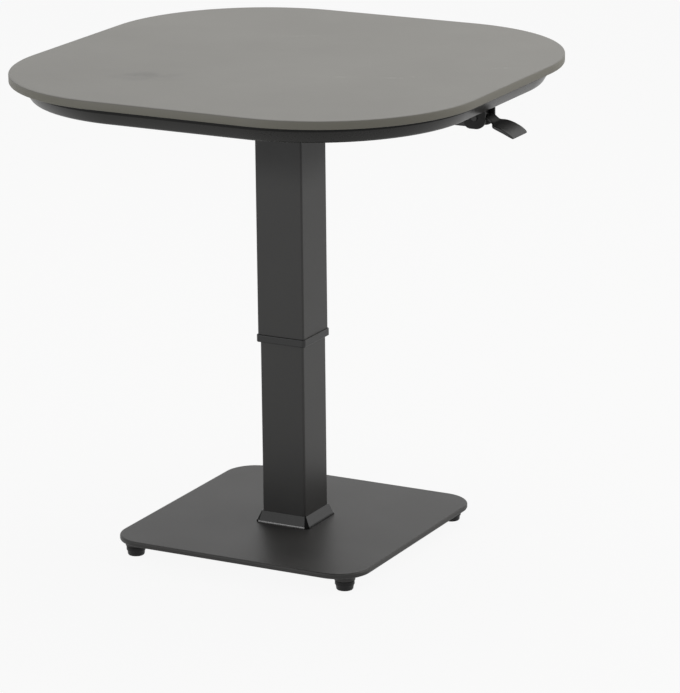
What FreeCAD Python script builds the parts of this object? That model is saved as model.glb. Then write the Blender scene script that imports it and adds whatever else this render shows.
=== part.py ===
import FreeCAD, Part
import os

import Sketcher

# Height-adjustable bistro table, raised, in millimetres.
# The origin is on the floor under the column's axis, +Z is up and +X points to the release paddle.

# Driving dimensions

SIZES = {
    # table top
    "table_height": 710,
    "top_side": 700,
    "top_corner_radius": 230,
    "top_thickness": 12,
    "top_edge_round": 1.5,
    "panel_inset": 12,
    "panel_corner_ease": 14,
    "panel_bevel": 15,
    "panel_thickness": 25,
    "panel_edge_round": 2,
    "plate_side": 240,
    "plate_corner_radius": 20,
    "plate_thickness": 6,
    # fixings of the top
    "top_screw_inset": 25,
    "top_screw_radius": 3,
    "top_screw_head_margin": 2.5,
    "top_screw_head_height": 4,
    "top_screw_end_gap": 2,
    "top_washer_margin": 4,
    "top_washer_thickness": 1.2,
    "insert_wall": 1.5,
    "insert_cover": 3,
    # column
    "outer_tube_side": 75,
    "outer_tube_wall": 1.5,
    "inner_tube_wall": 2,
    "tube_bend_radius": 1.2,
    "tube_gap": 1,
    "tube_overlap": 66,
    "lift_travel": 230,
    "lift_stop_gap": 5,
    "collar_proud": 2,
    "collar_edge_land": 0.8,
    "collar_lip": 3,
    "collar_wrap": 8,
    "collar_spigot": 25,
    "guide_flange": 6,
    "guide_spigot": 15,
    "guide_room": 6,
    "skirt_flare": 9,
    "skirt_corner_tuck": 2.2,
    "skirt_lip": 2,
    "skirt_height": 16.5,
    "skirt_wall": 2,
    "skirt_rim": 1.3,
    # base
    "base_side": 400,
    "base_corner_radius": 49,
    "base_thickness": 8,
    "base_edge_round": 2.5,
    "tube_foot_thickness": 10,
    "bolt_offset": 20,
    "bolt_radius": 4,
    "bolt_head_margin": 2.5,
    "bolt_head_height": 5,
    "bolt_end_gap": 1,
    "bolt_washer_margin": 4,
    "bolt_washer_thickness": 1.6,
    # feet
    "foot_height": 22,
    "foot_inset": 30,
    "foot_radius": 14,
    "foot_draft": 2.5,
    "foot_taper_height": 8,
    "foot_sole_round": 2,
    "boss_proud": 1,
    "boss_height": 7,
    "stud_radius": 5,
    "stud_seat": 4,
    "stud_socket_cover": 3,
    "stud_chamfer": 1,
    # gas spring
    "cylinder_radius": 14,
    "cylinder_wall": 1.5,
    "cylinder_cap": 12,
    "cylinder_chamfer": 1,
    "neck_radius": 7,
    "neck_nut_margin": 5.7,
    "neck_nut_height": 7,
    "wiper_height": 3,
    "gland_height": 13,
    "piston_gap": 3,
    "piston_height": 14,
    "piston_ring_depth": 1.8,
    "piston_ring_height": 3,
    "valve_room": 25,
    "rod_radius": 5,
    "rod_stub_step": 2,
    "rod_stud_step": 1,
    "rod_nut_margin": 3.5,
    "rod_nut_height": 6.5,
    "rod_nut_room": 2,
    "valve_pin_radius": 3,
    "valve_collar_margin": 2,
    "valve_collar_height": 3,
    "valve_tail": 9,
    # release gear
    "pivot_pin_radius": 3,
    "crank_length": 13,
    "crank_cheek": 3.7,
    "crank_eye_wall": 2.5,
    "link_pin_radius": 2,
    "link_eye_wall": 2,
    "link_thickness": 4,
    "link_slot_side": 2.5,
    "link_slot_margin": 3,
    "rocker_hub_wall": 2.5,
    "rocker_head_room": 2.5,
    "rocker_nut_room": 0.8,
    "rocker_arm_width": 10,
    "rocker_nose_radius": 4,
    "release_bracket_wall": 3,
    "release_bracket_edge": 4,
    "release_nut_room": 1.3,
    "crank_floor_room": 1.5,
    # release paddle and its bracket
    "paddle_setback": 52,
    "hub_radius": 10,
    "hub_head_room": 1,
    "neck_width": 24,
    "neck_root": 4.5,
    "neck_foot_setback": 4.5,
    "neck_reach": 30,
    "neck_corner_radius": 1.8,
    "shoulder_width": 36,
    "paddle_width": 47,
    "paddle_length": 32,
    "paddle_shoulder_radius": 2.4,
    "paddle_tip_radius": 6,
    "paddle_thickness": 4.5,
    "paddle_bend_length": 18,
    "paddle_bend_drop": 5.8,
    "paddle_bend_radius": 10,
    "paddle_tip_drop": 10.2,
    "paddle_edge_round": 1.2,
    "heel_length": 8,
    "ear_gap": 26,
    "ear_thickness": 4,
    "ear_front_margin": 6.5,
    "ear_back_margin": 5.5,
    "ear_below": 16,
    "ear_front_radius": 14,
    "ear_back_radius": 9,
    "bracket_flange": 3,
    "bracket_screw_spacing": 20,
    "bracket_screw_margin": 6,
    "bracket_end_margin": 8,
    "bracket_screw_radius": 2,
    "bracket_screw_cover": 9,
    "bracket_screw_head_margin": 2,
    "bracket_screw_head_height": 2.4,
    "pin_head_margin": 1.5,
    "pin_head_height": 1.5,
    "clip_margin": 2,
    "clip_thickness": 1,
    "clip_setback": 0.3,
    # clearances and limits
    "fit_gap": 0.1,
    "hole_play": 0.3,
    "running_clearance": 0.05,
    "slide_clearance": 0.25,
    "side_play": 0.3,
    "rest_gap": 0.3,
    "fillet_share": 0.45,
    "neck_slope": 0.745,
}

NEAR = 0.0001
CORNERS = [(1, 1), (-1, 1), (-1, -1), (1, -1)]
FEET = {
    "front_left": (-1, -1),
    "front_right": (1, -1),
    "back_left": (-1, 1),
    "back_right": (1, 1),
}

# Levels and places that several pieces share, as expressions on the sheet

SLAB_UNDERSIDE = "(Sizes.table_height - Sizes.top_thickness)"
PANEL_UNDERSIDE = f"({SLAB_UNDERSIDE} - Sizes.panel_thickness)"
PLATE_UNDERSIDE = f"({PANEL_UNDERSIDE} - Sizes.plate_thickness)"
PANEL_SIDE = "(Sizes.top_side - 2 * Sizes.panel_inset)"
PANEL_CORNER = "(Sizes.top_corner_radius - Sizes.panel_inset + Sizes.panel_corner_ease)"
TOP_SCREW_OFFSET = "(Sizes.plate_side / 2 - Sizes.top_screw_inset)"
INSERT_LENGTH = "(Sizes.top_thickness - Sizes.insert_cover)"
CRANK_END_RADIUS = "(Sizes.link_pin_radius + Sizes.crank_eye_wall)"
LINK_END_RADIUS = "(Sizes.link_pin_radius + Sizes.link_eye_wall)"
ROCKER_HUB_RADIUS = "(Sizes.pivot_pin_radius + Sizes.rocker_hub_wall)"
PADDLE_PIVOT_ROOM = "(Sizes.bracket_flange + Sizes.hub_radius + Sizes.hub_head_room)"
ROCKER_PIVOT_ROOM = f"(Sizes.plate_thickness + {ROCKER_HUB_RADIUS} + Sizes.rocker_head_room)"
PIVOT_DEPTH = f"max({PADDLE_PIVOT_ROOM}; {ROCKER_PIVOT_ROOM})"
PIVOT_LEVEL = f"({PANEL_UNDERSIDE} - {PIVOT_DEPTH})"
CRANK_LEVEL = f"({PIVOT_LEVEL} - Sizes.crank_length)"
BRACKET_FLOOR = f"({CRANK_LEVEL} - {CRANK_END_RADIUS} - Sizes.crank_floor_room)"
RELEASE_BRACKET_UNDERSIDE = f"({BRACKET_FLOOR} - Sizes.release_bracket_wall)"
RELEASE_BRACKET_HEIGHT = f"({PLATE_UNDERSIDE} - {RELEASE_BRACKET_UNDERSIDE})"
BASE_TOP = "(Sizes.foot_height + Sizes.base_thickness)"
TUBE_FOOT_TOP = f"({BASE_TOP} + Sizes.tube_foot_thickness)"
GUIDE_TOP = f"({RELEASE_BRACKET_UNDERSIDE} - Sizes.lift_travel - Sizes.lift_stop_gap)"
INNER_TUBE_TOP = f"({GUIDE_TOP} - Sizes.guide_flange)"
OUTER_TUBE_BOTTOM = f"({INNER_TUBE_TOP} - Sizes.tube_overlap - Sizes.collar_spigot)"
COLLAR_BOTTOM = f"({OUTER_TUBE_BOTTOM} - Sizes.collar_lip)"
OUTER_TUBE_BORE = "(Sizes.outer_tube_side - 2 * Sizes.outer_tube_wall)"
OUTER_TUBE_CORNER = "(Sizes.tube_bend_radius + Sizes.outer_tube_wall)"
INNER_TUBE_SIDE = f"({OUTER_TUBE_BORE} - 2 * Sizes.tube_gap)"
INNER_TUBE_BORE = f"({INNER_TUBE_SIDE} - 2 * Sizes.inner_tube_wall)"
INNER_TUBE_CORNER = "(Sizes.tube_bend_radius + Sizes.inner_tube_wall)"
CYLINDER_BORE = "(Sizes.cylinder_radius - Sizes.cylinder_wall)"
CYLINDER_LENGTH = (
    "(Sizes.wiper_height + Sizes.gland_height + Sizes.piston_gap + Sizes.piston_height"
    " + Sizes.lift_travel + Sizes.valve_room + Sizes.cylinder_cap)"
)
CYLINDER_BOTTOM = f"({RELEASE_BRACKET_UNDERSIDE} - {CYLINDER_LENGTH})"
PISTON_BOTTOM = f"({CYLINDER_BOTTOM} + Sizes.wiper_height + Sizes.gland_height + Sizes.piston_gap)"
VALVE_CAP_UNDERSIDE = f"({RELEASE_BRACKET_UNDERSIDE} - Sizes.cylinder_cap)"
NECK_NUT_RADIUS = "(Sizes.neck_radius + Sizes.neck_nut_margin)"
ROD_STUB_RADIUS = "(Sizes.rod_radius - Sizes.rod_stub_step)"
ROD_STUD_RADIUS = "(Sizes.rod_radius - Sizes.rod_stud_step)"
ROD_NUT_RADIUS = f"({ROD_STUD_RADIUS} + Sizes.rod_nut_margin)"
NOSE_UNDERSIDE = f"({PIVOT_LEVEL} - Sizes.rocker_nose_radius)"
ROCKER_X = f"({NECK_NUT_RADIUS} + {CRANK_END_RADIUS} + Sizes.rocker_nut_room)"
RELEASE_BRACKET_WIDTH = f"(2 * {NECK_NUT_RADIUS} + 2 * Sizes.release_nut_room)"
RELEASE_BRACKET_LENGTH = f"(2 * ({ROCKER_X} + Sizes.pivot_pin_radius + Sizes.release_bracket_edge))"
FOOT_OFFSET = "(Sizes.base_side / 2 - Sizes.foot_inset)"
FOOT_PAD_HEIGHT = "(Sizes.foot_height - Sizes.boss_height - Sizes.rest_gap)"
STUD_SOCKET = "(Sizes.base_thickness - Sizes.stud_socket_cover)"
PADDLE_X = "(Sizes.top_side / 2 - Sizes.paddle_setback)"
NECK_ROOT = "(Sizes.hub_radius + Sizes.neck_root)"
NECK_FOOT = "(Sizes.neck_reach - Sizes.neck_foot_setback)"
NECK_DROP = f"(Sizes.neck_slope * ({NECK_FOOT} - {NECK_ROOT}))"
PADDLE_REACH = "(Sizes.neck_reach + Sizes.paddle_length)"
PADDLE_BEND_X = "(Sizes.neck_reach + Sizes.paddle_bend_length)"
PADDLE_BEND_DROP = f"({NECK_DROP} + Sizes.paddle_bend_drop)"
PADDLE_TIP_DROP = f"({PADDLE_BEND_DROP} + Sizes.paddle_tip_drop)"
SHOULDER_FILLET_LIMIT = "(Sizes.fillet_share * (Sizes.shoulder_width - Sizes.neck_width) / 2)"
EAR_SPAN = "(Sizes.ear_gap + 2 * Sizes.ear_thickness)"
EAR_FRONT = "(Sizes.hub_radius + Sizes.ear_front_margin)"
EAR_BACK = "(Sizes.hub_radius + Sizes.ear_back_margin)"
EAR_DROP = f"({PIVOT_DEPTH} + Sizes.ear_below)"
HUB_WIDTH = "(Sizes.ear_gap - 2 * Sizes.side_play)"
FORK_GAP = "(Sizes.link_thickness + 2 * Sizes.side_play)"
CRANK_WIDTH = f"({FORK_GAP} + 2 * Sizes.crank_cheek)"
SCREW_SETBACK = f"({EAR_BACK} + Sizes.bracket_screw_spacing / 2 + Sizes.bracket_screw_margin)"
BRACKET_BACK = f"({SCREW_SETBACK} + Sizes.bracket_screw_spacing / 2 + Sizes.bracket_end_margin)"
SCREW_DEPTH = "(Sizes.panel_thickness - Sizes.bracket_screw_cover)"

doc = FreeCAD.newDocument("HeightAdjustableBistroTable")
sheet = doc.addObject("Spreadsheet::Sheet", "Sizes")
for row, (alias, amount) in enumerate(SIZES.items(), start=1):
    sheet.set(f"A{row}", alias)
    sheet.set(f"B{row}", str(amount))
    sheet.setAlias(f"B{row}", alias)
doc.recompute()

sub_parts = []


# Modelling helpers

def number(expression):
    """Value of an expression on the sheet."""
    return float(sheet.evalExpression(expression))


def place(piece, x="0", y="0", z="0"):
    """Binds a piece's position to the sheet."""
    piece.setExpression("Placement.Base.x", x)
    piece.setExpression("Placement.Base.y", y)
    piece.setExpression("Placement.Base.z", z)


def new_body(label, x="0", y="0", z="0"):
    """Empty body of one sub-part, at its place in the table."""
    body = doc.addObject("PartDesign::Body", label)
    body.Label = label
    body.AllowCompound = True
    place(body, x, y, z)
    sub_parts.append(body)
    return body


def new_sketch(body, name, plane, offset="0"):
    """Empty sketch on one of the body's own planes, moved along its normal by offset."""
    sketch = body.newObject("Sketcher::SketchObject", f"{body.Name}_{name}")
    support = [part for part in body.Origin.OriginFeatures if part.Role == plane][0]
    sketch.AttachmentSupport = [(support, "")]
    sketch.MapMode = "FlatFace"
    sketch.setExpression("AttachmentOffset.Base.z", offset)
    return sketch


def pin_point(sketch, geometry, point, across, up):
    """Ties a sketch point to two expressions, measured from the sketch's origin."""
    for kind, expression, axis in (("DistanceX", across, -2), ("DistanceY", up, -1)):
        if expression == "0":
            sketch.addConstraint(Sketcher.Constraint("PointOnObject", geometry, point, axis))
            continue
        size = number(expression)
        index = sketch.addConstraint(Sketcher.Constraint(kind, -1, 1, geometry, point, size))
        sketch.setExpression(f"Constraints[{index}]", expression)


def outline(body, name, plane, points, offset="0"):
    """Closed outline of straight lines; each corner is a pair of expressions."""
    sketch = new_sketch(body, name, plane, offset)
    corners = [FreeCAD.Vector(number(across), number(up), 0) for across, up in points]
    for start, end in zip(corners, corners[1:] + corners[:1]):
        sketch.addGeometry(Part.LineSegment(start, end), False)
    for index in range(len(points)):
        following = (index + 1) % len(points)
        sketch.addConstraint(Sketcher.Constraint("Coincident", index, 2, following, 1))
    for index, (across, up) in enumerate(points):
        pin_point(sketch, index, 1, across, up)
    return sketch


def circles(body, name, plane, radii, centres=(("0", "0"),), offset="0"):
    """Circles of each radius round each centre."""
    sketch = new_sketch(body, name, plane, offset)
    for across, up in centres:
        for radius in radii:
            centre = FreeCAD.Vector(number(across), number(up), 0)
            circle = Part.Circle(centre, FreeCAD.Vector(0, 0, 1), number(radius))
            geometry = sketch.addGeometry(circle, False)
            pin_point(sketch, geometry, 3, across, up)
            index = sketch.addConstraint(Sketcher.Constraint("Radius", geometry, number(radius)))
            sketch.setExpression(f"Constraints[{index}]", radius)
    return sketch


def rounded_square(body, name, side, radius, offset="0"):
    """Square with round corners, centred on the body's axis."""
    sketch = new_sketch(body, name, "XY_Plane", offset)
    half = number(side) / 2
    corner = number(radius)
    turn = FreeCAD.Rotation(FreeCAD.Vector(0, 0, 1), 90)
    start = FreeCAD.Vector(corner - half, -half, 0)
    end = FreeCAD.Vector(half - corner, -half, 0)
    centre = FreeCAD.Vector(half - corner, corner - half, 0)
    middle = centre + FreeCAD.Rotation(FreeCAD.Vector(0, 0, 1), -45).multVec(FreeCAD.Vector(corner, 0, 0))
    for _ in range(4):
        next_start = turn.multVec(start)
        sketch.addGeometry(Part.LineSegment(start, end), False)
        sketch.addGeometry(Part.Arc(end, middle, next_start), False)
        start = next_start
        end = turn.multVec(end)
        middle = turn.multVec(middle)
    lines = (0, 2, 4, 6)
    for line in lines:
        arc = line + 1
        sketch.addConstraint(Sketcher.Constraint("Tangent", line, 2, arc, 1))
        sketch.addConstraint(Sketcher.Constraint("Tangent", arc, 2, (line + 2) % 8, 1))
    for line, direction in zip(lines, ("Horizontal", "Vertical", "Horizontal", "Vertical")):
        sketch.addConstraint(Sketcher.Constraint(direction, line))
    for arc in (3, 5, 7):
        sketch.addConstraint(Sketcher.Constraint("Equal", 1, arc))
    sketch.addConstraint(Sketcher.Constraint("Symmetric", 1, 3, 5, 3, -1, 1))
    width = sketch.addConstraint(Sketcher.Constraint("DistanceX", 6, 1, 2, 1, 2 * half))
    depth = sketch.addConstraint(Sketcher.Constraint("DistanceY", 0, 1, 4, 1, 2 * half))
    bend = sketch.addConstraint(Sketcher.Constraint("Radius", 1, corner))
    sketch.setExpression(f"Constraints[{width}]", side)
    sketch.setExpression(f"Constraints[{depth}]", side)
    sketch.setExpression(f"Constraints[{bend}]", radius)
    return sketch


def pad(body, sketch, length, both_ways=False, widening="0"):
    """Raises a sketch along its normal, or half each way; widening moves its sides out by the end."""
    feature = body.newObject("PartDesign::Pad", f"{sketch.Name}_pad")
    feature.Profile = sketch
    feature.SideType = "Symmetric" if both_ways else "One side"
    feature.setExpression("Length", length)
    feature.setExpression("TaperAngle", f"atan(({widening}) / ({length}))")
    body.Tip = feature
    doc.recompute()
    return feature


def cut(body, sketch, depth, both_ways=False, widening="0"):
    """Cuts a sketch out of the body along the sketch's normal, or half each way, as pad raises it."""
    before = body.Shape.Volume
    feature = body.newObject("PartDesign::Pocket", f"{sketch.Name}_cut")
    feature.Profile = sketch
    feature.SideType = "Symmetric" if both_ways else "One side"
    feature.Reversed = not both_ways
    feature.setExpression("Length", depth)
    feature.setExpression("TaperAngle", f"atan(({widening}) / ({depth}))")
    body.Tip = feature
    doc.recompute()
    if body.Shape.Volume >= before:
        raise RuntimeError(f"{feature.Name} cuts nothing")
    return feature


def round_edges(body, name, radius, chosen):
    """Fillet on the edges that the test chosen picks."""
    base = body.Tip
    edges = [f"Edge{index}" for index, edge in enumerate(base.Shape.Edges, start=1) if chosen(edge)]
    feature = body.newObject("PartDesign::Fillet", f"{body.Name}_{name}")
    feature.Base = (base, edges)
    feature.setExpression("Radius", radius)
    body.Tip = feature
    doc.recompute()
    return feature


def at_level(level):
    """Test for edges that lie at one level of the body."""
    def chosen(edge):
        box = edge.BoundBox
        return abs(box.ZMin - level) < NEAR and abs(box.ZMax - level) < NEAR
    return chosen


def upright_at(across, sideways):
    """Test for upright edges at one distance along X, on both sides along Y."""
    def chosen(edge):
        box = edge.BoundBox
        upright = box.XLength < NEAR and box.YLength < NEAR
        return upright and abs(box.XMin - across) < NEAR and abs(abs(box.YMin) - sideways) < NEAR
    return chosen


def turned(label, points, x="0", y="0", z="0"):
    """Piece turned about its own upright axis from a half section of radius and level."""
    body = new_body(label, x, y, z)
    sketch = outline(body, "section", "XZ_Plane", points)
    feature = body.newObject("PartDesign::Revolution", f"{label}_turned")
    feature.Profile = sketch
    feature.ReferenceAxis = (sketch, ["V_Axis"])
    feature.Angle = 360
    body.Tip = feature
    doc.recompute()
    return body


def square_of(offset, middle="0"):
    """Four centres at the corners of a square, round a middle along X."""
    return [(f"{middle} + {sx} * {offset}", f"{sy} * {offset}") for sx, sy in CORNERS]


def hex_nut(label, corner_radius, height, bore, z):
    """Six-sided nut on the column's axis, two flats facing along X."""
    blank = doc.addObject("Part::Prism", f"{label}_blank")
    blank.Polygon = 6
    blank.setExpression("Circumradius", corner_radius)
    blank.setExpression("Height", height)
    blank.Placement.Rotation = FreeCAD.Rotation(FreeCAD.Vector(0, 0, 1), 30)
    place(blank, z=z)
    hole = doc.addObject("Part::Cylinder", f"{label}_bore")
    hole.setExpression("Radius", bore)
    hole.setExpression("Height", height)
    place(hole, z=z)
    nut = doc.addObject("Part::Cut", label)
    nut.Label = label
    nut.Base = blank
    nut.Tool = hole
    sub_parts.append(nut)


# Table top

def top_slab():
    """Stone-look slab with eased edges and four blind holes for threaded inserts."""
    body = new_body("top_slab", z=SLAB_UNDERSIDE)
    plan = rounded_square(body, "plan", "Sizes.top_side", "Sizes.top_corner_radius")
    pad(body, plan, "Sizes.top_thickness")
    round_edges(body, "top_edge", "Sizes.top_edge_round", at_level(number("Sizes.top_thickness")))
    round_edges(body, "lower_edge", "Sizes.top_edge_round", at_level(0.0))
    holes = circles(
        body,
        "insert_holes",
        "XY_Plane",
        ["Sizes.top_screw_radius + Sizes.insert_wall + Sizes.fit_gap"],
        square_of(TOP_SCREW_OFFSET),
    )
    cut(body, holes, INSERT_LENGTH)


def slab_inserts():
    """Threaded inserts in the slab's underside, one for each top screw."""
    body = new_body("slab_inserts", z=SLAB_UNDERSIDE)
    rings = circles(
        body,
        "rings",
        "XY_Plane",
        ["Sizes.top_screw_radius + Sizes.insert_wall", "Sizes.top_screw_radius + Sizes.fit_gap"],
        square_of(TOP_SCREW_OFFSET),
    )
    pad(body, rings, f"{INSERT_LENGTH} - Sizes.fit_gap")


def under_panel():
    """Support board under the slab, its edge bevelled inwards, drilled for the fixings."""
    body = new_body("under_panel", z=PANEL_UNDERSIDE)
    plan = rounded_square(
        body,
        "plan",
        f"{PANEL_SIDE} - 2 * Sizes.panel_bevel",
        f"{PANEL_CORNER} - Sizes.panel_bevel",
    )
    pad(body, plan, "Sizes.panel_thickness", widening="Sizes.panel_bevel")
    round_edges(body, "lower_edge", "Sizes.panel_edge_round", at_level(0.0))
    screw_holes = circles(
        body,
        "screw_holes",
        "XY_Plane",
        ["Sizes.top_screw_radius + Sizes.hole_play"],
        square_of(TOP_SCREW_OFFSET),
    )
    cut(body, screw_holes, "Sizes.panel_thickness")
    pilot_holes = circles(
        body,
        "pilot_holes",
        "XY_Plane",
        ["Sizes.bracket_screw_radius + Sizes.fit_gap"],
        square_of("Sizes.bracket_screw_spacing / 2", f"({PADDLE_X} - {SCREW_SETBACK})"),
    )
    cut(body, pilot_holes, SCREW_DEPTH)


def top_plate():
    """Steel plate welded to the upper tube and screwed up through the panel."""
    body = new_body("top_plate", z=PLATE_UNDERSIDE)
    plan = rounded_square(body, "plan", "Sizes.plate_side", "Sizes.plate_corner_radius")
    pad(body, plan, "Sizes.plate_thickness")
    holes = circles(
        body,
        "screw_holes",
        "XY_Plane",
        ["Sizes.top_screw_radius + Sizes.hole_play"],
        square_of(TOP_SCREW_OFFSET),
    )
    cut(body, holes, "Sizes.plate_thickness")


def top_screws():
    """Screws from below through washer, plate and panel into the slab's inserts."""
    body = new_body("top_screws", z=f"{PLATE_UNDERSIDE} - Sizes.top_washer_thickness")
    centres = square_of(TOP_SCREW_OFFSET)
    radius = ["Sizes.top_screw_radius + Sizes.top_screw_head_margin"]
    heads = circles(body, "heads", "XY_Plane", radius, centres, "-Sizes.top_screw_head_height")
    pad(body, heads, "Sizes.top_screw_head_height")
    shanks = circles(body, "shanks", "XY_Plane", ["Sizes.top_screw_radius"], centres)
    clamped = "Sizes.top_washer_thickness + Sizes.plate_thickness + Sizes.panel_thickness"
    pad(body, shanks, f"{clamped} + {INSERT_LENGTH} - Sizes.top_screw_end_gap")


def top_washers():
    """Washers under the heads of the top screws."""
    body = new_body("top_washers", z=f"{PLATE_UNDERSIDE} - Sizes.top_washer_thickness")
    rings = circles(
        body,
        "rings",
        "XY_Plane",
        ["Sizes.top_screw_radius + Sizes.top_washer_margin", "Sizes.top_screw_radius + Sizes.hole_play"],
        square_of(TOP_SCREW_OFFSET),
    )
    pad(body, rings, "Sizes.top_washer_thickness")


# Column

def square_tube(label, side, corner, bore, bottom, top):
    """Square tube with round corners, from one level to another."""
    body = new_body(label, z=bottom)
    length = f"{top} - {bottom}"
    pad(body, rounded_square(body, "outside", side, corner), length)
    cut(body, rounded_square(body, "bore", bore, "Sizes.tube_bend_radius"), length)
    return body


def outer_tube():
    """Upper tube, which rises and falls, with a slot in its +X wall for the release link."""
    body = square_tube(
        "outer_tube",
        "Sizes.outer_tube_side",
        OUTER_TUBE_CORNER,
        OUTER_TUBE_BORE,
        OUTER_TUBE_BOTTOM,
        PLATE_UNDERSIDE,
    )
    middle = f"({CRANK_LEVEL} - {OUTER_TUBE_BOTTOM})"
    half_height = f"({LINK_END_RADIUS} + Sizes.link_slot_margin)"
    half_width = "(Sizes.link_thickness / 2 + Sizes.link_slot_side)"
    points = [
        (f"{side} * {half_width}", f"{middle} + {way} * {half_height}")
        for side, way in ((-1, -1), (1, -1), (1, 1), (-1, 1))
    ]
    cut(body, outline(body, "link_slot", "YZ_Plane", points), "Sizes.outer_tube_side")


def inner_tube():
    """Lower tube, fixed to the base."""
    square_tube("inner_tube", INNER_TUBE_SIDE, INNER_TUBE_CORNER, INNER_TUBE_BORE, BASE_TOP, INNER_TUBE_TOP)


def guide_collar():
    """Plastic ring that wraps the upper tube's lower end and guides it on the lower tube."""
    body = new_body("guide_collar", z=COLLAR_BOTTOM)
    height = "(Sizes.collar_lip + Sizes.collar_wrap)"
    outside = rounded_square(
        body,
        "outside",
        "Sizes.outer_tube_side + 2 * Sizes.collar_proud",
        f"{OUTER_TUBE_CORNER} + Sizes.collar_proud",
    )
    pad(body, outside, height)
    edge_round = "Sizes.collar_proud - Sizes.collar_edge_land"
    round_edges(body, "lower_edge", edge_round, at_level(0.0))
    round_edges(body, "upper_edge", edge_round, at_level(number(height)))
    socket = rounded_square(
        body,
        "socket",
        "Sizes.outer_tube_side + 2 * Sizes.fit_gap",
        f"{OUTER_TUBE_CORNER} + Sizes.fit_gap",
        "Sizes.collar_lip",
    )
    cut(body, socket, "Sizes.collar_wrap")
    spigot = rounded_square(
        body,
        "spigot",
        f"{OUTER_TUBE_BORE} - 2 * Sizes.fit_gap",
        "Sizes.tube_bend_radius - Sizes.fit_gap",
        "Sizes.collar_lip",
    )
    pad(body, spigot, "Sizes.collar_spigot")
    bore = rounded_square(
        body,
        "bore",
        f"{INNER_TUBE_SIDE} + 2 * Sizes.slide_clearance",
        f"{INNER_TUBE_CORNER} + Sizes.slide_clearance",
    )
    cut(body, bore, "Sizes.collar_lip + Sizes.collar_spigot")


def tube_guide():
    """Nylon plug in the lower tube's upper end, which slides in the upper tube."""
    body = new_body("tube_guide", z=INNER_TUBE_TOP)
    flange = rounded_square(
        body,
        "flange",
        f"{OUTER_TUBE_BORE} - 2 * Sizes.slide_clearance",
        "Sizes.tube_bend_radius - Sizes.slide_clearance",
    )
    pad(body, flange, "Sizes.guide_flange")
    spigot = rounded_square(
        body,
        "spigot",
        f"{INNER_TUBE_BORE} - 2 * Sizes.fit_gap",
        "Sizes.tube_bend_radius - Sizes.fit_gap",
        "-Sizes.guide_spigot",
    )
    pad(body, spigot, "Sizes.guide_spigot")
    radius = ["Sizes.cylinder_radius + Sizes.guide_room"]
    hole = circles(body, "hole", "XY_Plane", radius, offset="-Sizes.guide_spigot")
    cut(body, hole, "Sizes.guide_spigot + Sizes.guide_flange")


def skirt_cover():
    """Flared plastic cover round the foot of the column, hollow inside."""
    body = new_body("skirt_cover", z=BASE_TOP)
    bore = f"({INNER_TUBE_SIDE} + 2 * Sizes.fit_gap)"
    bore_corner = f"({INNER_TUBE_CORNER} + Sizes.fit_gap)"
    side = f"({INNER_TUBE_SIDE} + 2 * Sizes.skirt_flare)"
    corner = f"({INNER_TUBE_CORNER} + Sizes.skirt_flare - Sizes.skirt_corner_tuck)"
    pad(body, rounded_square(body, "lip", side, corner), "Sizes.skirt_lip")
    rise = "Sizes.skirt_height - Sizes.skirt_lip"
    draw_in = "Sizes.fit_gap + Sizes.skirt_rim - Sizes.skirt_flare"
    flare = rounded_square(body, "flare", side, corner, "Sizes.skirt_lip")
    pad(body, flare, rise, widening=draw_in)
    hollow = rounded_square(
        body,
        "hollow",
        f"{side} - 2 * Sizes.skirt_wall",
        f"{corner} - Sizes.skirt_wall",
    )
    cut(body, hollow, rise, widening=draw_in)
    cut(body, rounded_square(body, "bore", bore, bore_corner), "Sizes.skirt_height")


# Base

def base_plate():
    """Steel plate with round corners, drilled for the column's bolts and the foot studs."""
    body = new_body("base_plate", z="Sizes.foot_height")
    plan = rounded_square(body, "plan", "Sizes.base_side", "Sizes.base_corner_radius")
    pad(body, plan, "Sizes.base_thickness")
    round_edges(body, "top_edge", "Sizes.base_edge_round", at_level(number("Sizes.base_thickness")))
    round_edges(body, "lower_edge", "Sizes.base_edge_round", at_level(0.0))
    bolt_holes = circles(
        body,
        "bolt_holes",
        "XY_Plane",
        ["Sizes.bolt_radius + Sizes.hole_play"],
        square_of("Sizes.bolt_offset"),
    )
    cut(body, bolt_holes, "Sizes.base_thickness")
    nut_hole = circles(body, "nut_hole", "XY_Plane", [f"{ROD_NUT_RADIUS} + Sizes.rod_nut_room"])
    cut(body, nut_hole, "Sizes.base_thickness")
    sockets = circles(
        body,
        "stud_sockets",
        "XY_Plane",
        ["Sizes.stud_radius + Sizes.running_clearance"],
        square_of(FOOT_OFFSET),
    )
    cut(body, sockets, STUD_SOCKET)


def tube_foot():
    """Thick plate welded in the lower tube's foot, threaded for the base bolts."""
    body = new_body("tube_foot", z=BASE_TOP)
    plan = rounded_square(
        body,
        "plan",
        f"{INNER_TUBE_BORE} - 2 * Sizes.fit_gap",
        "Sizes.tube_bend_radius - Sizes.fit_gap",
    )
    pad(body, plan, "Sizes.tube_foot_thickness")
    holes = circles(
        body,
        "bolt_holes",
        "XY_Plane",
        ["Sizes.bolt_radius + Sizes.fit_gap"],
        square_of("Sizes.bolt_offset"),
    )
    cut(body, holes, "Sizes.tube_foot_thickness")
    rod_hole = circles(body, "rod_hole", "XY_Plane", [f"{ROD_STUD_RADIUS} + Sizes.fit_gap"])
    cut(body, rod_hole, "Sizes.tube_foot_thickness")


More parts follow.
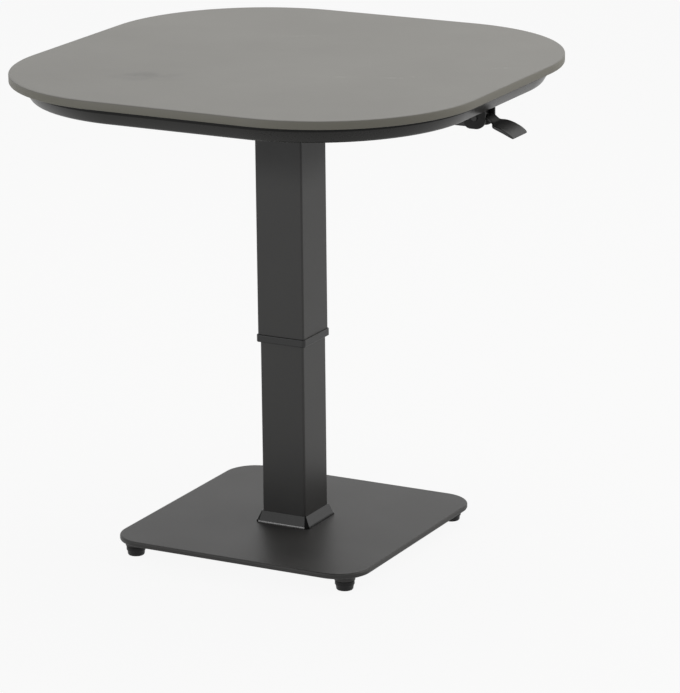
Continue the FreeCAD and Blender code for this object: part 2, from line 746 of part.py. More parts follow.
def base_bolts():
    """Bolts from below through the base plate into the tube foot."""
    body = new_body("base_bolts", z="Sizes.foot_height - Sizes.bolt_washer_thickness")
    centres = square_of("Sizes.bolt_offset")
    radius = ["Sizes.bolt_radius + Sizes.bolt_head_margin"]
    heads = circles(body, "heads", "XY_Plane", radius, centres, "-Sizes.bolt_head_height")
    pad(body, heads, "Sizes.bolt_head_height")
    shanks = circles(body, "shanks", "XY_Plane", ["Sizes.bolt_radius"], centres)
    reach = "Sizes.tube_foot_thickness - Sizes.bolt_end_gap"
    pad(body, shanks, f"Sizes.bolt_washer_thickness + Sizes.base_thickness + {reach}")


def base_washers():
    """Washers under the heads of the base bolts."""
    body = new_body("base_washers", z="Sizes.foot_height - Sizes.bolt_washer_thickness")
    rings = circles(
        body,
        "rings",
        "XY_Plane",
        ["Sizes.bolt_radius + Sizes.bolt_washer_margin", "Sizes.bolt_radius + Sizes.hole_play"],
        square_of("Sizes.bolt_offset"),
    )
    pad(body, rings, "Sizes.bolt_washer_thickness")


# Feet

def foot_bosses():
    """Threaded bosses under the plate's corners, which take the foot studs."""
    body = new_body("foot_bosses", z="Sizes.foot_height - Sizes.boss_height")
    rings = circles(
        body,
        "rings",
        "XY_Plane",
        ["Sizes.foot_radius + Sizes.boss_proud", "Sizes.stud_radius + Sizes.running_clearance"],
        square_of(FOOT_OFFSET),
    )
    pad(body, rings, "Sizes.boss_height")


def foot(name, side_x, side_y):
    """One levelling foot: a plastic pad with a threaded stud in it."""
    x = f"{side_x} * {FOOT_OFFSET}"
    y = f"{side_y} * {FOOT_OFFSET}"
    hole = "(Sizes.stud_radius + Sizes.fit_gap)"
    pad_section = [
        ("0", "0"),
        ("Sizes.foot_radius - Sizes.foot_draft", "0"),
        ("Sizes.foot_radius", "Sizes.foot_taper_height"),
        ("Sizes.foot_radius", FOOT_PAD_HEIGHT),
        (hole, FOOT_PAD_HEIGHT),
        (hole, "Sizes.stud_seat"),
        ("0", "Sizes.stud_seat"),
    ]
    body = turned(f"foot_pad_{name}", pad_section, x, y)
    round_edges(body, "sole_edge", "Sizes.foot_sole_round", at_level(0.0))
    length = f"(Sizes.foot_height + {STUD_SOCKET} - Sizes.rest_gap - Sizes.stud_seat)"
    stud_section = [
        ("0", "0"),
        ("Sizes.stud_radius", "0"),
        ("Sizes.stud_radius", f"{length} - Sizes.stud_chamfer"),
        ("Sizes.stud_radius - Sizes.stud_chamfer", length),
        ("0", length),
    ]
    turned(f"foot_stud_{name}", stud_section, x, y, "Sizes.stud_seat")


# Gas spring

def gas_cylinder():
    """Pressure tube with a closed upper end and a threaded neck, bored for the valve pin."""
    top = CYLINDER_LENGTH
    neck_top = f"({CYLINDER_LENGTH} + Sizes.release_bracket_wall + Sizes.neck_nut_height)"
    cap = f"({CYLINDER_LENGTH} - Sizes.cylinder_cap)"
    valve_bore = "(Sizes.valve_pin_radius + Sizes.running_clearance)"
    section = [
        (CYLINDER_BORE, "0"),
        ("Sizes.cylinder_radius", "0"),
        ("Sizes.cylinder_radius", f"{top} - Sizes.cylinder_chamfer"),
        ("Sizes.cylinder_radius - Sizes.cylinder_chamfer", top),
        ("Sizes.neck_radius", top),
        ("Sizes.neck_radius", neck_top),
        (valve_bore, neck_top),
        (valve_bore, cap),
        (CYLINDER_BORE, cap),
    ]
    turned("gas_cylinder", section, z=CYLINDER_BOTTOM)


def ring(label, inner, outer, height, z):
    """Plain turned ring."""
    section = [(inner, "0"), (outer, "0"), (outer, height), (inner, height)]
    turned(label, section, z=z)


def gas_spring_internals():
    """Wiper and gland at the cylinder's mouth, piston with its ring, rod, and valve pin."""
    rod_bore = "(Sizes.rod_radius + Sizes.running_clearance)"
    mouth = f"({CYLINDER_BORE} - Sizes.fit_gap)"
    ring("rod_wiper", rod_bore, mouth, "Sizes.wiper_height", CYLINDER_BOTTOM)
    gland_bottom = f"{CYLINDER_BOTTOM} + Sizes.wiper_height"
    ring("cylinder_gland", rod_bore, mouth, "Sizes.gland_height", gland_bottom)

    bore = f"({ROD_STUB_RADIUS} + Sizes.fit_gap)"
    outside = f"({CYLINDER_BORE} - 2 * Sizes.running_clearance)"
    groove = f"({outside} - Sizes.piston_ring_depth)"
    groove_bottom = "((Sizes.piston_height - Sizes.piston_ring_height) / 2 - Sizes.fit_gap)"
    groove_top = "((Sizes.piston_height + Sizes.piston_ring_height) / 2 + Sizes.fit_gap)"
    piston_section = [
        (bore, "0"),
        (outside, "0"),
        (outside, groove_bottom),
        (groove, groove_bottom),
        (groove, groove_top),
        (outside, groove_top),
        (outside, "Sizes.piston_height"),
        (bore, "Sizes.piston_height"),
    ]
    turned("gas_piston", piston_section, z=PISTON_BOTTOM)
    ring_bottom = f"{PISTON_BOTTOM} + (Sizes.piston_height - Sizes.piston_ring_height) / 2"
    ring("piston_ring", f"{groove} + Sizes.fit_gap", outside, "Sizes.piston_ring_height", ring_bottom)

    rod_length = f"({PISTON_BOTTOM} - {TUBE_FOOT_TOP})"
    stud_bottom = "(-Sizes.tube_foot_thickness - Sizes.rod_nut_height)"
    rod_section = [
        ("0", stud_bottom),
        (ROD_STUD_RADIUS, stud_bottom),
        (ROD_STUD_RADIUS, "0"),
        ("Sizes.rod_radius", "0"),
        ("Sizes.rod_radius", rod_length),
        (ROD_STUB_RADIUS, rod_length),
        (ROD_STUB_RADIUS, f"{rod_length} + Sizes.piston_height"),
        ("0", f"{rod_length} + Sizes.piston_height"),
    ]
    turned("gas_piston_rod", rod_section, z=TUBE_FOOT_TOP)

    collar_radius = "(Sizes.valve_pin_radius + Sizes.valve_collar_margin)"
    collar_top = "(-Sizes.rest_gap)"
    collar_bottom = f"({collar_top} - Sizes.valve_collar_height)"
    tail = f"({collar_bottom} - Sizes.valve_tail)"
    tip = f"({NOSE_UNDERSIDE} - {VALVE_CAP_UNDERSIDE} - Sizes.rest_gap)"
    valve_section = [
        ("0", tail),
        ("Sizes.valve_pin_radius", tail),
        ("Sizes.valve_pin_radius", collar_bottom),
        (collar_radius, collar_bottom),
        (collar_radius, collar_top),
        ("Sizes.valve_pin_radius", collar_top),
        ("Sizes.valve_pin_radius", tip),
        ("0", tip),
    ]
    turned("valve_pin", valve_section, z=VALVE_CAP_UNDERSIDE)


def gas_spring_nuts():
    """Nut on the cylinder's neck and nut under the tube foot on the rod's stud."""
    neck_bore = "Sizes.neck_radius + Sizes.fit_gap"
    hex_nut("cylinder_nut", NECK_NUT_RADIUS, "Sizes.neck_nut_height", neck_bore, BRACKET_FLOOR)
    stud_bore = f"{ROD_STUD_RADIUS} + Sizes.fit_gap"
    nut_bottom = f"{BASE_TOP} - Sizes.rod_nut_height"
    hex_nut("rod_nut", ROD_NUT_RADIUS, "Sizes.rod_nut_height", stud_bore, nut_bottom)


# Release gear under the top

def cross_pin(label, x, z, radius, length):
    """Round pin along Y."""
    body = new_body(label, x, z=z)
    pad(body, circles(body, "section", "XZ_Plane", [radius]), length, both_ways=True)
    return body


def release_bracket():
    """Bent steel channel welded under the top plate: holds the gas spring and the rocker's pin."""
    body = new_body("release_bracket", z=RELEASE_BRACKET_UNDERSIDE)
    inside = f"({RELEASE_BRACKET_WIDTH} / 2)"
    outside = f"({RELEASE_BRACKET_WIDTH} / 2 + Sizes.release_bracket_wall)"
    section = [
        (f"-{outside}", "0"),
        (outside, "0"),
        (outside, RELEASE_BRACKET_HEIGHT),
        (inside, RELEASE_BRACKET_HEIGHT),
        (inside, "Sizes.release_bracket_wall"),
        (f"-{inside}", "Sizes.release_bracket_wall"),
        (f"-{inside}", RELEASE_BRACKET_HEIGHT),
        (f"-{outside}", RELEASE_BRACKET_HEIGHT),
    ]
    pad(body, outline(body, "section", "YZ_Plane", section), RELEASE_BRACKET_LENGTH, both_ways=True)
    neck_hole = circles(body, "neck_hole", "XY_Plane", ["Sizes.neck_radius + Sizes.fit_gap"])
    cut(body, neck_hole, "Sizes.release_bracket_wall")
    pivot = (ROCKER_X, f"{PIVOT_LEVEL} - {RELEASE_BRACKET_UNDERSIDE}")
    hole_radius = ["Sizes.pivot_pin_radius + Sizes.running_clearance"]
    holes = circles(body, "pin_holes", "XZ_Plane", hole_radius, [pivot])
    span = f"2 * {outside}"
    cut(body, holes, span, both_ways=True)
    cross_pin("rocker_pin", ROCKER_X, PIVOT_LEVEL, "Sizes.pivot_pin_radius", span)


def crank(body):
    """Forked crank arm below a pivot, for the release link."""
    half = CRANK_END_RADIUS
    arm = [
        (f"-{half}", "0"),
        (f"-{half}", "-Sizes.crank_length"),
        (half, "-Sizes.crank_length"),
        (half, "0"),
    ]
    pad(body, outline(body, "crank_arm", "XZ_Plane", arm), CRANK_WIDTH, both_ways=True)
    end = circles(body, "crank_end", "XZ_Plane", [half], [("0", "-Sizes.crank_length")])
    pad(body, end, CRANK_WIDTH, both_ways=True)


def fork_slot(body, reach):
    """Slot in the crank's end that the release link swings in."""
    top = f"(-Sizes.crank_length + {LINK_END_RADIUS} + Sizes.link_slot_margin)"
    bottom = f"(-Sizes.crank_length - 2 * {CRANK_END_RADIUS})"
    points = [
        (f"-{reach}", bottom),
        (reach, bottom),
        (reach, top),
        (f"-{reach}", top),
    ]
    cut(body, outline(body, "fork_slot", "XZ_Plane", points), FORK_GAP, both_ways=True)


def pivot_bore(body, width):
    """Bore for the pivot pin."""
    bore = circles(body, "pivot_bore", "XZ_Plane", ["Sizes.pivot_pin_radius + Sizes.running_clearance"])
    cut(body, bore, width, both_ways=True)


def link_pin_bore(body):
    """Bore for the link's pin through both cheeks of the fork."""
    centre = [("0", "-Sizes.crank_length")]
    radius = ["Sizes.link_pin_radius + Sizes.running_clearance"]
    bore = circles(body, "link_pin_bore", "XZ_Plane", radius, centre)
    cut(body, bore, CRANK_WIDTH, both_ways=True)


def rocker():
    """Bell crank: the link pulls its fork, and its nose presses the valve pin down."""
    width = f"({RELEASE_BRACKET_WIDTH} - 2 * Sizes.side_play)"
    body = new_body("rocker", ROCKER_X, z=PIVOT_LEVEL)
    pad(body, circles(body, "hub", "XZ_Plane", [ROCKER_HUB_RADIUS]), width, both_ways=True)
    half = "Sizes.rocker_nose_radius"
    arm = [
        ("0", f"-{half}"),
        ("0", half),
        (f"-{ROCKER_X}", half),
        (f"-{ROCKER_X}", f"-{half}"),
    ]
    pad(body, outline(body, "nose_arm", "XZ_Plane", arm), "Sizes.rocker_arm_width", both_ways=True)
    nose = circles(body, "nose", "XZ_Plane", [half], [(f"-{ROCKER_X}", "0")])
    pad(body, nose, "Sizes.rocker_arm_width", both_ways=True)
    crank(body)
    fork_slot(body, f"({CRANK_END_RADIUS} + Sizes.side_play)")
    pivot_bore(body, width)
    link_pin_bore(body)
    cross_pin("rocker_link_pin", ROCKER_X, CRANK_LEVEL, "Sizes.link_pin_radius", CRANK_WIDTH)


def release_link():
    """Flat steel strip that pulls the rocker when the paddle is lifted."""
    body = new_body("release_link", ROCKER_X, z=CRANK_LEVEL)
    length = f"({PADDLE_X} - {ROCKER_X})"
    half = LINK_END_RADIUS
    strip = [("0", f"-{half}"), (length, f"-{half}"), (length, half), ("0", half)]
    pad(body, outline(body, "strip", "XZ_Plane", strip), "Sizes.link_thickness", both_ways=True)
    for name, x in (("inner_end", "0"), ("outer_end", length)):
        end = circles(body, name, "XZ_Plane", [half], [(x, "0")])
        pad(body, end, "Sizes.link_thickness", both_ways=True)
    bores = circles(
        body,
        "bores",
        "XZ_Plane",
        ["Sizes.link_pin_radius + Sizes.running_clearance"],
        [("0", "0"), (length, "0")],
    )
    cut(body, bores, "Sizes.link_thickness", both_ways=True)


# Release paddle

def paddle_plan(body):
    """Neck and paddle seen from above, raised as a block and rounded at its upright corners."""
    neck = "Sizes.neck_width / 2"
    shoulder = "Sizes.shoulder_width / 2"
    wide = "Sizes.paddle_width / 2"
    plan = [
        ("0", f"-{neck}"),
        ("Sizes.neck_reach", f"-{neck}"),
        ("Sizes.neck_reach", f"-{shoulder}"),
        (PADDLE_REACH, f"-{wide}"),
        (PADDLE_REACH, wide),
        ("Sizes.neck_reach", shoulder),
        ("Sizes.neck_reach", neck),
        ("0", neck),
    ]
    depth = f"({PADDLE_TIP_DROP} + 2 * Sizes.paddle_thickness)"
    pad(body, outline(body, "plan", "XY_Plane", plan, f"-{depth}"), f"{depth} + 2 * Sizes.paddle_thickness")
    reach = number("Sizes.neck_reach")
    tip = number(PADDLE_REACH)
    half_neck = number("Sizes.neck_width") / 2
    half_shoulder = number("Sizes.shoulder_width") / 2
    half_wide = number("Sizes.paddle_width") / 2
    neck_radius = f"min(Sizes.neck_corner_radius; {SHOULDER_FILLET_LIMIT})"
    shoulder_radius = f"min(Sizes.paddle_shoulder_radius; {SHOULDER_FILLET_LIMIT})"
    round_edges(body, "neck_corners", neck_radius, upright_at(reach, half_neck))
    round_edges(body, "shoulders", shoulder_radius, upright_at(reach, half_shoulder))
    round_edges(body, "tip_corners", "Sizes.paddle_tip_radius", upright_at(tip, half_wide))


def paddle_faces(body):
    """Trims the block to a blade that steps down from the hub, arches to its tip and has a round rim."""
    high = "4 * Sizes.paddle_thickness"
    low = f"(-{PADDLE_TIP_DROP} - 4 * Sizes.paddle_thickness)"
    far = f"({PADDLE_REACH} + Sizes.paddle_thickness)"
    half = "(Sizes.paddle_thickness / 2)"
    upper = [
        ("0", high),
        ("0", half),
        (NECK_ROOT, half),
        (NECK_FOOT, f"{half} - {NECK_DROP}"),
        (PADDLE_BEND_X, f"{half} - {PADDLE_BEND_DROP}"),
        (far, f"{half} - {PADDLE_TIP_DROP}"),
        (far, high),
    ]
    cut(body, outline(body, "upper_face", "XZ_Plane", upper), "Sizes.paddle_width", both_ways=True)
    lower = [
        ("0", low),
        ("0", f"-{half}"),
        (NECK_ROOT, f"-{half}"),
        (NECK_FOOT, f"-{half} - {NECK_DROP}"),
        (PADDLE_BEND_X, f"-{half} - {PADDLE_BEND_DROP}"),
        (far, f"-{half} - {PADDLE_TIP_DROP}"),
        (far, low),
    ]
    cut(body, outline(body, "lower_face", "XZ_Plane", lower), "Sizes.paddle_width", both_ways=True)
    bends = [number(bend) for bend in (NECK_ROOT, NECK_FOOT, PADDLE_BEND_X)]

    def across_at_bend(edge):
        box = edge.BoundBox
        across = box.XLength < NEAR and box.ZLength < NEAR
        return across and min(abs(box.XMin - bend) for bend in bends) < NEAR

    round_edges(body, "bends", "Sizes.paddle_bend_radius", across_at_bend)
    tip = number(PADDLE_REACH)
    full_width = number("Sizes.neck_width") - NEAR

    def on_rim(edge):
        box = edge.BoundBox
        upright = box.XLength < NEAR and box.YLength < NEAR
        across = box.XLength < NEAR and box.YLength > full_width and abs(box.XMin - tip) > NEAR
        return box.XMax > NEAR and not upright and not across

    edge_radius = "min(Sizes.paddle_edge_round; Sizes.fillet_share * Sizes.paddle_thickness)"
    round_edges(body, "rim", edge_radius, on_rim)


def paddle_lever():
    """Hand lever: blade with a paddle end, a wide hub, a stop heel and a forked crank."""
    body = new_body("paddle_lever", PADDLE_X, z=PIVOT_LEVEL)
    paddle_plan(body)
    paddle_faces(body)
    pad(body, circles(body, "hub", "XZ_Plane", ["Sizes.hub_radius"]), HUB_WIDTH, both_ways=True)
    heel_top = f"({PIVOT_DEPTH} - Sizes.bracket_flange - Sizes.rest_gap)"
    heel = [
        ("-Sizes.heel_length", "0"),
        ("0", "0"),
        ("0", heel_top),
        ("-Sizes.heel_length", heel_top),
    ]
    pad(body, outline(body, "heel", "XZ_Plane", heel), "Sizes.neck_width", both_ways=True)
    crank(body)
    fork_slot(body, "(Sizes.hub_radius + Sizes.side_play)")
    pivot_bore(body, HUB_WIDTH)
    link_pin_bore(body)
    cross_pin("lever_link_pin", PADDLE_X, CRANK_LEVEL, "Sizes.link_pin_radius", CRANK_WIDTH)


def lever_bracket():
    """Pivot bracket screwed under the panel: a flange with two hanging ears."""
    body = new_body("lever_bracket", PADDLE_X, z=PANEL_UNDERSIDE)
    flange = [
        (f"-{BRACKET_BACK}", "-Sizes.bracket_flange"),
        (EAR_FRONT, "-Sizes.bracket_flange"),
        (EAR_FRONT, "0"),
        (f"-{BRACKET_BACK}", "0"),
    ]
    pad(body, outline(body, "flange", "XZ_Plane", flange), EAR_SPAN, both_ways=True)
    ears = [
        (f"-{EAR_BACK}", f"-{EAR_DROP}"),
        (EAR_FRONT, f"-{EAR_DROP}"),
        (EAR_FRONT, "-Sizes.bracket_flange"),
        (f"-{EAR_BACK}", "-Sizes.bracket_flange"),
    ]
    pad(body, outline(body, "ears", "XZ_Plane", ears), EAR_SPAN, both_ways=True)
    low = -number(EAR_DROP)

    def foot_edge_at(end):
        def is_foot_edge(edge):
            box = edge.BoundBox
            across = box.XLength < NEAR and box.ZLength < NEAR
            return across and abs(box.ZMin - low) < NEAR and abs(box.XMin - end) < NEAR

        return is_foot_edge

    round_edges(body, "ear_front", "Sizes.ear_front_radius", foot_edge_at(number(EAR_FRONT)))
    round_edges(body, "ear_back", "Sizes.ear_back_radius", foot_edge_at(-number(EAR_BACK)))
    between = [
        (f"-{EAR_BACK}", f"-{EAR_DROP}"),
        (EAR_FRONT, f"-{EAR_DROP}"),
        (EAR_FRONT, "-Sizes.bracket_flange"),
        (f"-{EAR_BACK}", "-Sizes.bracket_flange"),
    ]
    cut(body, outline(body, "between_ears", "XZ_Plane", between), "Sizes.ear_gap", both_ways=True)
    pin_radius = "Sizes.pivot_pin_radius + Sizes.running_clearance"
    holes = circles(body, "pin_holes", "XZ_Plane", [pin_radius], [("0", f"-{PIVOT_DEPTH}")])
    cut(body, holes, EAR_SPAN, both_ways=True)
    screw_holes = circles(
        body,
        "screw_holes",
        "XY_Plane",
        ["Sizes.bracket_screw_radius + Sizes.hole_play"],
        square_of("Sizes.bracket_screw_spacing / 2", f"-{SCREW_SETBACK}"),
        "-Sizes.bracket_flange",
    )
    cut(body, screw_holes, "Sizes.bracket_flange")


def bracket_screws():
    """Screws from below through the bracket's flange into the panel."""
    body = new_body("bracket_screws", z=f"{PANEL_UNDERSIDE} - Sizes.bracket_flange")
    centres = square_of("Sizes.bracket_screw_spacing / 2", f"({PADDLE_X} - {SCREW_SETBACK})")
    radius = ["Sizes.bracket_screw_radius + Sizes.bracket_screw_head_margin"]
    heads = circles(body, "heads", "XY_Plane", radius, centres, "-Sizes.bracket_screw_head_height")
    pad(body, heads, "Sizes.bracket_screw_head_height")
    shanks = circles(body, "shanks", "XY_Plane", ["Sizes.bracket_screw_radius"], centres)
    pad(body, shanks, f"Sizes.bracket_flange + {SCREW_DEPTH} - Sizes.rest_gap")


def lever_pin():
    """Paddle's pivot pin with a head in front, held behind by a clip."""
    tail = "(Sizes.clip_setback + 2 * Sizes.clip_thickness)"
    body = new_body("lever_pin", PADDLE_X, z=PIVOT_LEVEL)
    shank_start = f"({EAR_SPAN} / 2)"
    head_radius = ["Sizes.pivot_pin_radius + Sizes.pin_head_margin"]
    head = circles(body, "head", "XZ_Plane", head_radius, offset=shank_start)
    pad(body, head, "Sizes.pin_head_height")
    shank_back = f"(-{EAR_SPAN} / 2 - {tail})"
    shank = circles(body, "shank", "XZ_Plane", ["Sizes.pivot_pin_radius"], offset=shank_back)
    pad(body, shank, f"{EAR_SPAN} + {tail}")
    clip = new_body("lever_pin_clip", PADDLE_X, z=PIVOT_LEVEL)
    clip_back = f"(-{EAR_SPAN} / 2 - Sizes.clip_setback - Sizes.clip_thickness)"
    radii = ["Sizes.pivot_pin_radius + Sizes.clip_margin", "Sizes.pivot_pin_radius + Sizes.fit_gap"]
    pad(clip, circles(clip, "section", "XZ_Plane", radii, offset=clip_back), "Sizes.clip_thickness")


# Build

top_slab()
slab_inserts()
under_panel()
top_plate()
top_screws()
top_washers()
outer_tube()
guide_collar()
inner_tube()
tube_guide()
skirt_cover()
base_plate()
tube_foot()
base_bolts()
base_washers()
foot_bosses()
for foot_name, (foot_x, foot_y) in FEET.items():
    foot(foot_name, foot_x, foot_y)
gas_cylinder()
gas_spring_internals()
gas_spring_nuts()
release_bracket()
rocker()
release_link()
paddle_lever()
lever_bracket()
bracket_screws()
lever_pin()
doc.recompute()

# Checks and files

for item in doc.Objects:
    if "Invalid" in item.State or "Error" in item.State:
        raise RuntimeError(f"{item.Label} failed: {item.State}")
for piece in sub_parts:
    if piece.Shape.isNull() or not piece.Shape.isValid():
        raise RuntimeError(f"{piece.Label} has no valid shape")

os.makedirs("parts", exist_ok=True)
for piece in sub_parts:
    piece.Shape.exportStep(f"parts/{piece.Label}.step")
    box = piece.Shape.BoundBox
    print(
        f"{piece.Label}: {len(piece.Shape.Solids)} solids, {piece.Shape.Volume / 1000:.2f} cm3,"
        f" x {box.XMin:.2f} to {box.XMax:.2f}, y {box.YMin:.2f} to {box.YMax:.2f},"
        f" z {box.ZMin:.2f} to {box.ZMax:.2f}"
    )
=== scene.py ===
# %% [markdown]
# # A height-adjustable bistro table
# The table has a stone slab on a lacquered board, a square column that slides up and down on a gas
# spring, a steel base plate on four levelling feet, and a small paddle under the top that lets the
# spring go. The CAD model already holds all of its pieces in their places. This lesson gives every
# piece a finish, and models again the ones that need finer edges than the CAD has.

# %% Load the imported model
import math

import bmesh
import bpy
from mathutils import Matrix, Vector


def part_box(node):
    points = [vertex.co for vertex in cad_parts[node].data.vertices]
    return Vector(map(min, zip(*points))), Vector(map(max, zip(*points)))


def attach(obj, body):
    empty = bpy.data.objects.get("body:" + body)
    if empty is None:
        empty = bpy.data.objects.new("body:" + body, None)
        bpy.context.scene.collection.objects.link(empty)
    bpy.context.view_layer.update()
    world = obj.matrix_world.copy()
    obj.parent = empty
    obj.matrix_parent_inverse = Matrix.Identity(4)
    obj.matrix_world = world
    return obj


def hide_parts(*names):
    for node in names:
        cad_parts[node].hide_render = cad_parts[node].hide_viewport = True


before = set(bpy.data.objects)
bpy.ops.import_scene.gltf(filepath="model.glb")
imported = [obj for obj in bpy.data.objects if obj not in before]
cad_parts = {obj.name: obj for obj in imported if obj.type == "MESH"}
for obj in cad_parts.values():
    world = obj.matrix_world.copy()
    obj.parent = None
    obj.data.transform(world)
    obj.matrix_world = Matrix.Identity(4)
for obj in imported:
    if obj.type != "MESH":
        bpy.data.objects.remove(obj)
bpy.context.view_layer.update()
scene = bpy.context.scene
print("CAD nodes:", len(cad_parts))

# %% [markdown]
# ## The camera
# A product photograph is taken with a long lens from far away, so that the edges of the table stay
# nearly parallel. The camera could be placed by eye. Here it is worked out from a few numbers: where
# it stands around the table, how far off, and which pixel of the picture shows the middle of the base.

# %% Camera at the photograph's viewing angle
PICTURE_WIDTH, PICTURE_HEIGHT = 680, 693
CAMERA_TURN = math.radians(27.87)
CAMERA_RISE = math.radians(16.06)
CAMERA_ROLL = math.radians(0.60)
CAMERA_DISTANCE = 5.6927
FOCAL_PIXELS = 3898.45
AIM_PIXEL = (295.51, 517.23)
SENSOR = 36.0

aim = Vector((0, 0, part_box("base_plate")[1].z))
level_right = Vector((math.cos(CAMERA_TURN), math.sin(CAMERA_TURN), 0))
backward = Vector((
    math.sin(CAMERA_TURN) * math.cos(CAMERA_RISE),
    -math.cos(CAMERA_TURN) * math.cos(CAMERA_RISE),
    math.sin(CAMERA_RISE),
))
level_up = backward.cross(level_right)
rightward = level_right * math.cos(CAMERA_ROLL) - level_up * math.sin(CAMERA_ROLL)
upward = level_right * math.sin(CAMERA_ROLL) + level_up * math.cos(CAMERA_ROLL)
metres_per_pixel = CAMERA_DISTANCE / FOCAL_PIXELS
aside = (AIM_PIXEL[0] - PICTURE_WIDTH / 2) * metres_per_pixel
below = (AIM_PIXEL[1] - PICTURE_HEIGHT / 2) * metres_per_pixel
standpoint = aim - rightward * aside + upward * below + backward * CAMERA_DISTANCE

bpy.ops.object.camera_add()
camera = bpy.context.object
camera.name = "camera"
camera.data.sensor_width = SENSOR
camera.data.lens = FOCAL_PIXELS / PICTURE_HEIGHT * SENSOR
axes = Matrix((rightward, upward, backward)).transposed().to_4x4()
camera.matrix_world = Matrix.Translation(standpoint) @ axes
scene.camera = camera
print("camera at", [round(x, 3) for x in standpoint], "lens", round(camera.data.lens, 1))

# %% [markdown]
# ## Sums on shader sockets
# A finish is a small network of nodes. Adding each Math node by hand hides the thought behind it, so
# one class wraps a socket and lets plain arithmetic add the nodes. Every other kind of node comes from
# its `node` method: the type, then the settings, then the values or links of the sockets.


# %% A socket that can be added and multiplied
class Wire:
    def __init__(self, tree, socket=None):
        self.tree = tree
        self.socket = socket

    def node(self, kind, settings=None, sockets=None, out=0):
        made = self.tree.nodes.new("ShaderNode" + kind)
        for name, value in (settings or {}).items():
            if name == "stops":
                lay_stops(made.color_ramp, value)
            else:
                setattr(made, name, value)
        for name, value in (sockets or {}).items():
            self.plug(value, made.inputs[name])
        return Wire(self.tree, made.outputs[out])

    def plug(self, value, socket):
        if isinstance(value, Wire):
            self.tree.links.new(value.socket, socket)
        else:
            socket.default_value = value

    def sum(self, operation, first, second):
        return self.node("Math", {"operation": operation}, {0: first, 1: second})

    def __add__(self, other):
        return self.sum("ADD", self, other)

    def __radd__(self, other):
        return self.sum("ADD", other, self)

    def __sub__(self, other):
        return self.sum("SUBTRACT", self, other)

    def __rsub__(self, other):
        return self.sum("SUBTRACT", other, self)

    def __mul__(self, other):
        return self.sum("MULTIPLY", self, other)

    def __rmul__(self, other):
        return self.sum("MULTIPLY", other, self)


def lay_stops(ramp, stops):
    while len(ramp.elements) < len(stops):
        ramp.elements.new(1.0)
    for element, (position, colour) in zip(ramp.elements, stops):
        element.position = position
        element.color = colour


# %% [markdown]
# ## Floor and light
# The photograph is a studio picture: a white surround, soft light from above, a little more from the
# back right, and a small lamp low at the front left that gives the foot of the column its glint. A
# dome of light alone would look flat. The floor is plain and nearly white, and keeps the soft shadow
# under the base. More light would also make the background white, but would bleach the table. So the
# camera and the reflections see surround and floor whiter than the light that these give off.

# %% White surround
SURROUND_LIGHT = 0.42
scene.view_settings.view_transform = "Standard"
scene.world = bpy.data.worlds.new("studio")
scene.world.use_nodes = True
sky = Wire(scene.world.node_tree)


def seen_share(wire, by_camera, in_gloss):
    path = wire.node("LightPath").socket.node.outputs
    seen, gloss, glass = (
        Wire(wire.tree, path[ray]) for ray in ("Is Camera Ray", "Is Glossy Ray", "Is Transmission Ray")
    )
    return seen * by_camera + gloss * in_gloss + glass * by_camera


surround = scene.world.node_tree.nodes["Background"]
surround.inputs["Color"].default_value = (1, 1, 1, 1)
extra = 1 - SURROUND_LIGHT
sky.plug(seen_share(sky, extra, extra) + SURROUND_LIGHT, surround.inputs["Strength"])
print("surround gives", SURROUND_LIGHT, "of white light")

# %% Pale floor
FLOOR_SIDE, FLOOR_DROP, FLOOR_ROUGHNESS = 30.0, 0.0002, 0.9
FLOOR_PAINT = (0.55, 0.55, 0.545, 1)
FLOOR_WHITE = (1, 1, 1, 1)
WHITE_SHARE_SEEN, WHITE_SHARE_IN_GLOSS = 0.92, 0.74
bpy.ops.object.select_all(action="DESELECT")
bpy.ops.mesh.primitive_plane_add(size=FLOOR_SIDE, location=(0, 0, -FLOOR_DROP))
floor = bpy.context.object
floor.name = "floor"
floor_paint = bpy.data.materials.new("floor_paint")
floor_paint.use_nodes = True
floor_shader = floor_paint.node_tree.nodes["Principled BSDF"]
floor_shader.inputs["Roughness"].default_value = FLOOR_ROUGHNESS
floor_shader.inputs["Specular IOR Level"].default_value = 0.0
floor_shader.inputs["Base Color"].default_value = FLOOR_PAINT
ground = Wire(floor_paint.node_tree)
white = ground.node("Emission", None, {"Color": FLOOR_WHITE, "Strength": 1.0})
painted = Wire(floor_paint.node_tree, floor_shader.outputs[0])
white_share = seen_share(ground, WHITE_SHARE_SEEN, WHITE_SHARE_IN_GLOSS)
mixed = ground.node("MixShader", None, {0: white_share, 1: painted, 2: white})
ground.plug(mixed, floor_paint.node_tree.nodes["Material Output"].inputs["Surface"])
floor.data.materials.append(floor_paint)
print("floor", FLOOR_SIDE, "m across")


# %% Three soft lamps
def soft_lamp(name, place, target, width, height, power, colour):
    bpy.ops.object.light_add(type="AREA", location=place)
    lamp = bpy.context.object
    lamp.name = name
    lamp.data.shape = "RECTANGLE"
    lamp.data.size = width
    lamp.data.size_y = height
    lamp.data.energy = power
    lamp.data.color = colour
    lamp.rotation_euler = (Vector(target) - Vector(place)).to_track_quat("-Z", "Y").to_euler()
    print("lamp", name, power, "W")


# Each lamp: name, place, what it points at, width, height, watts and colour
LAMPS = [
    ("overhead_lamp", (0.2, 0.9, 3.3), (0, 0, 0.7), 2.6, 2.6, 40.5, (1, 0.98, 0.95)),
    ("right_lamp", (2.5, 1.8, 1.9), (0, 0, 0.5), 1.6, 2.0, 20, (1, 0.95, 0.88)),
    ("front_lamp", (-1.62, -3.15, 0.62), (0, 0, 0.3), 0.8, 0.6, 10, (1, 1, 1)),
]
for lamp_row in LAMPS:
    soft_lamp(*lamp_row)

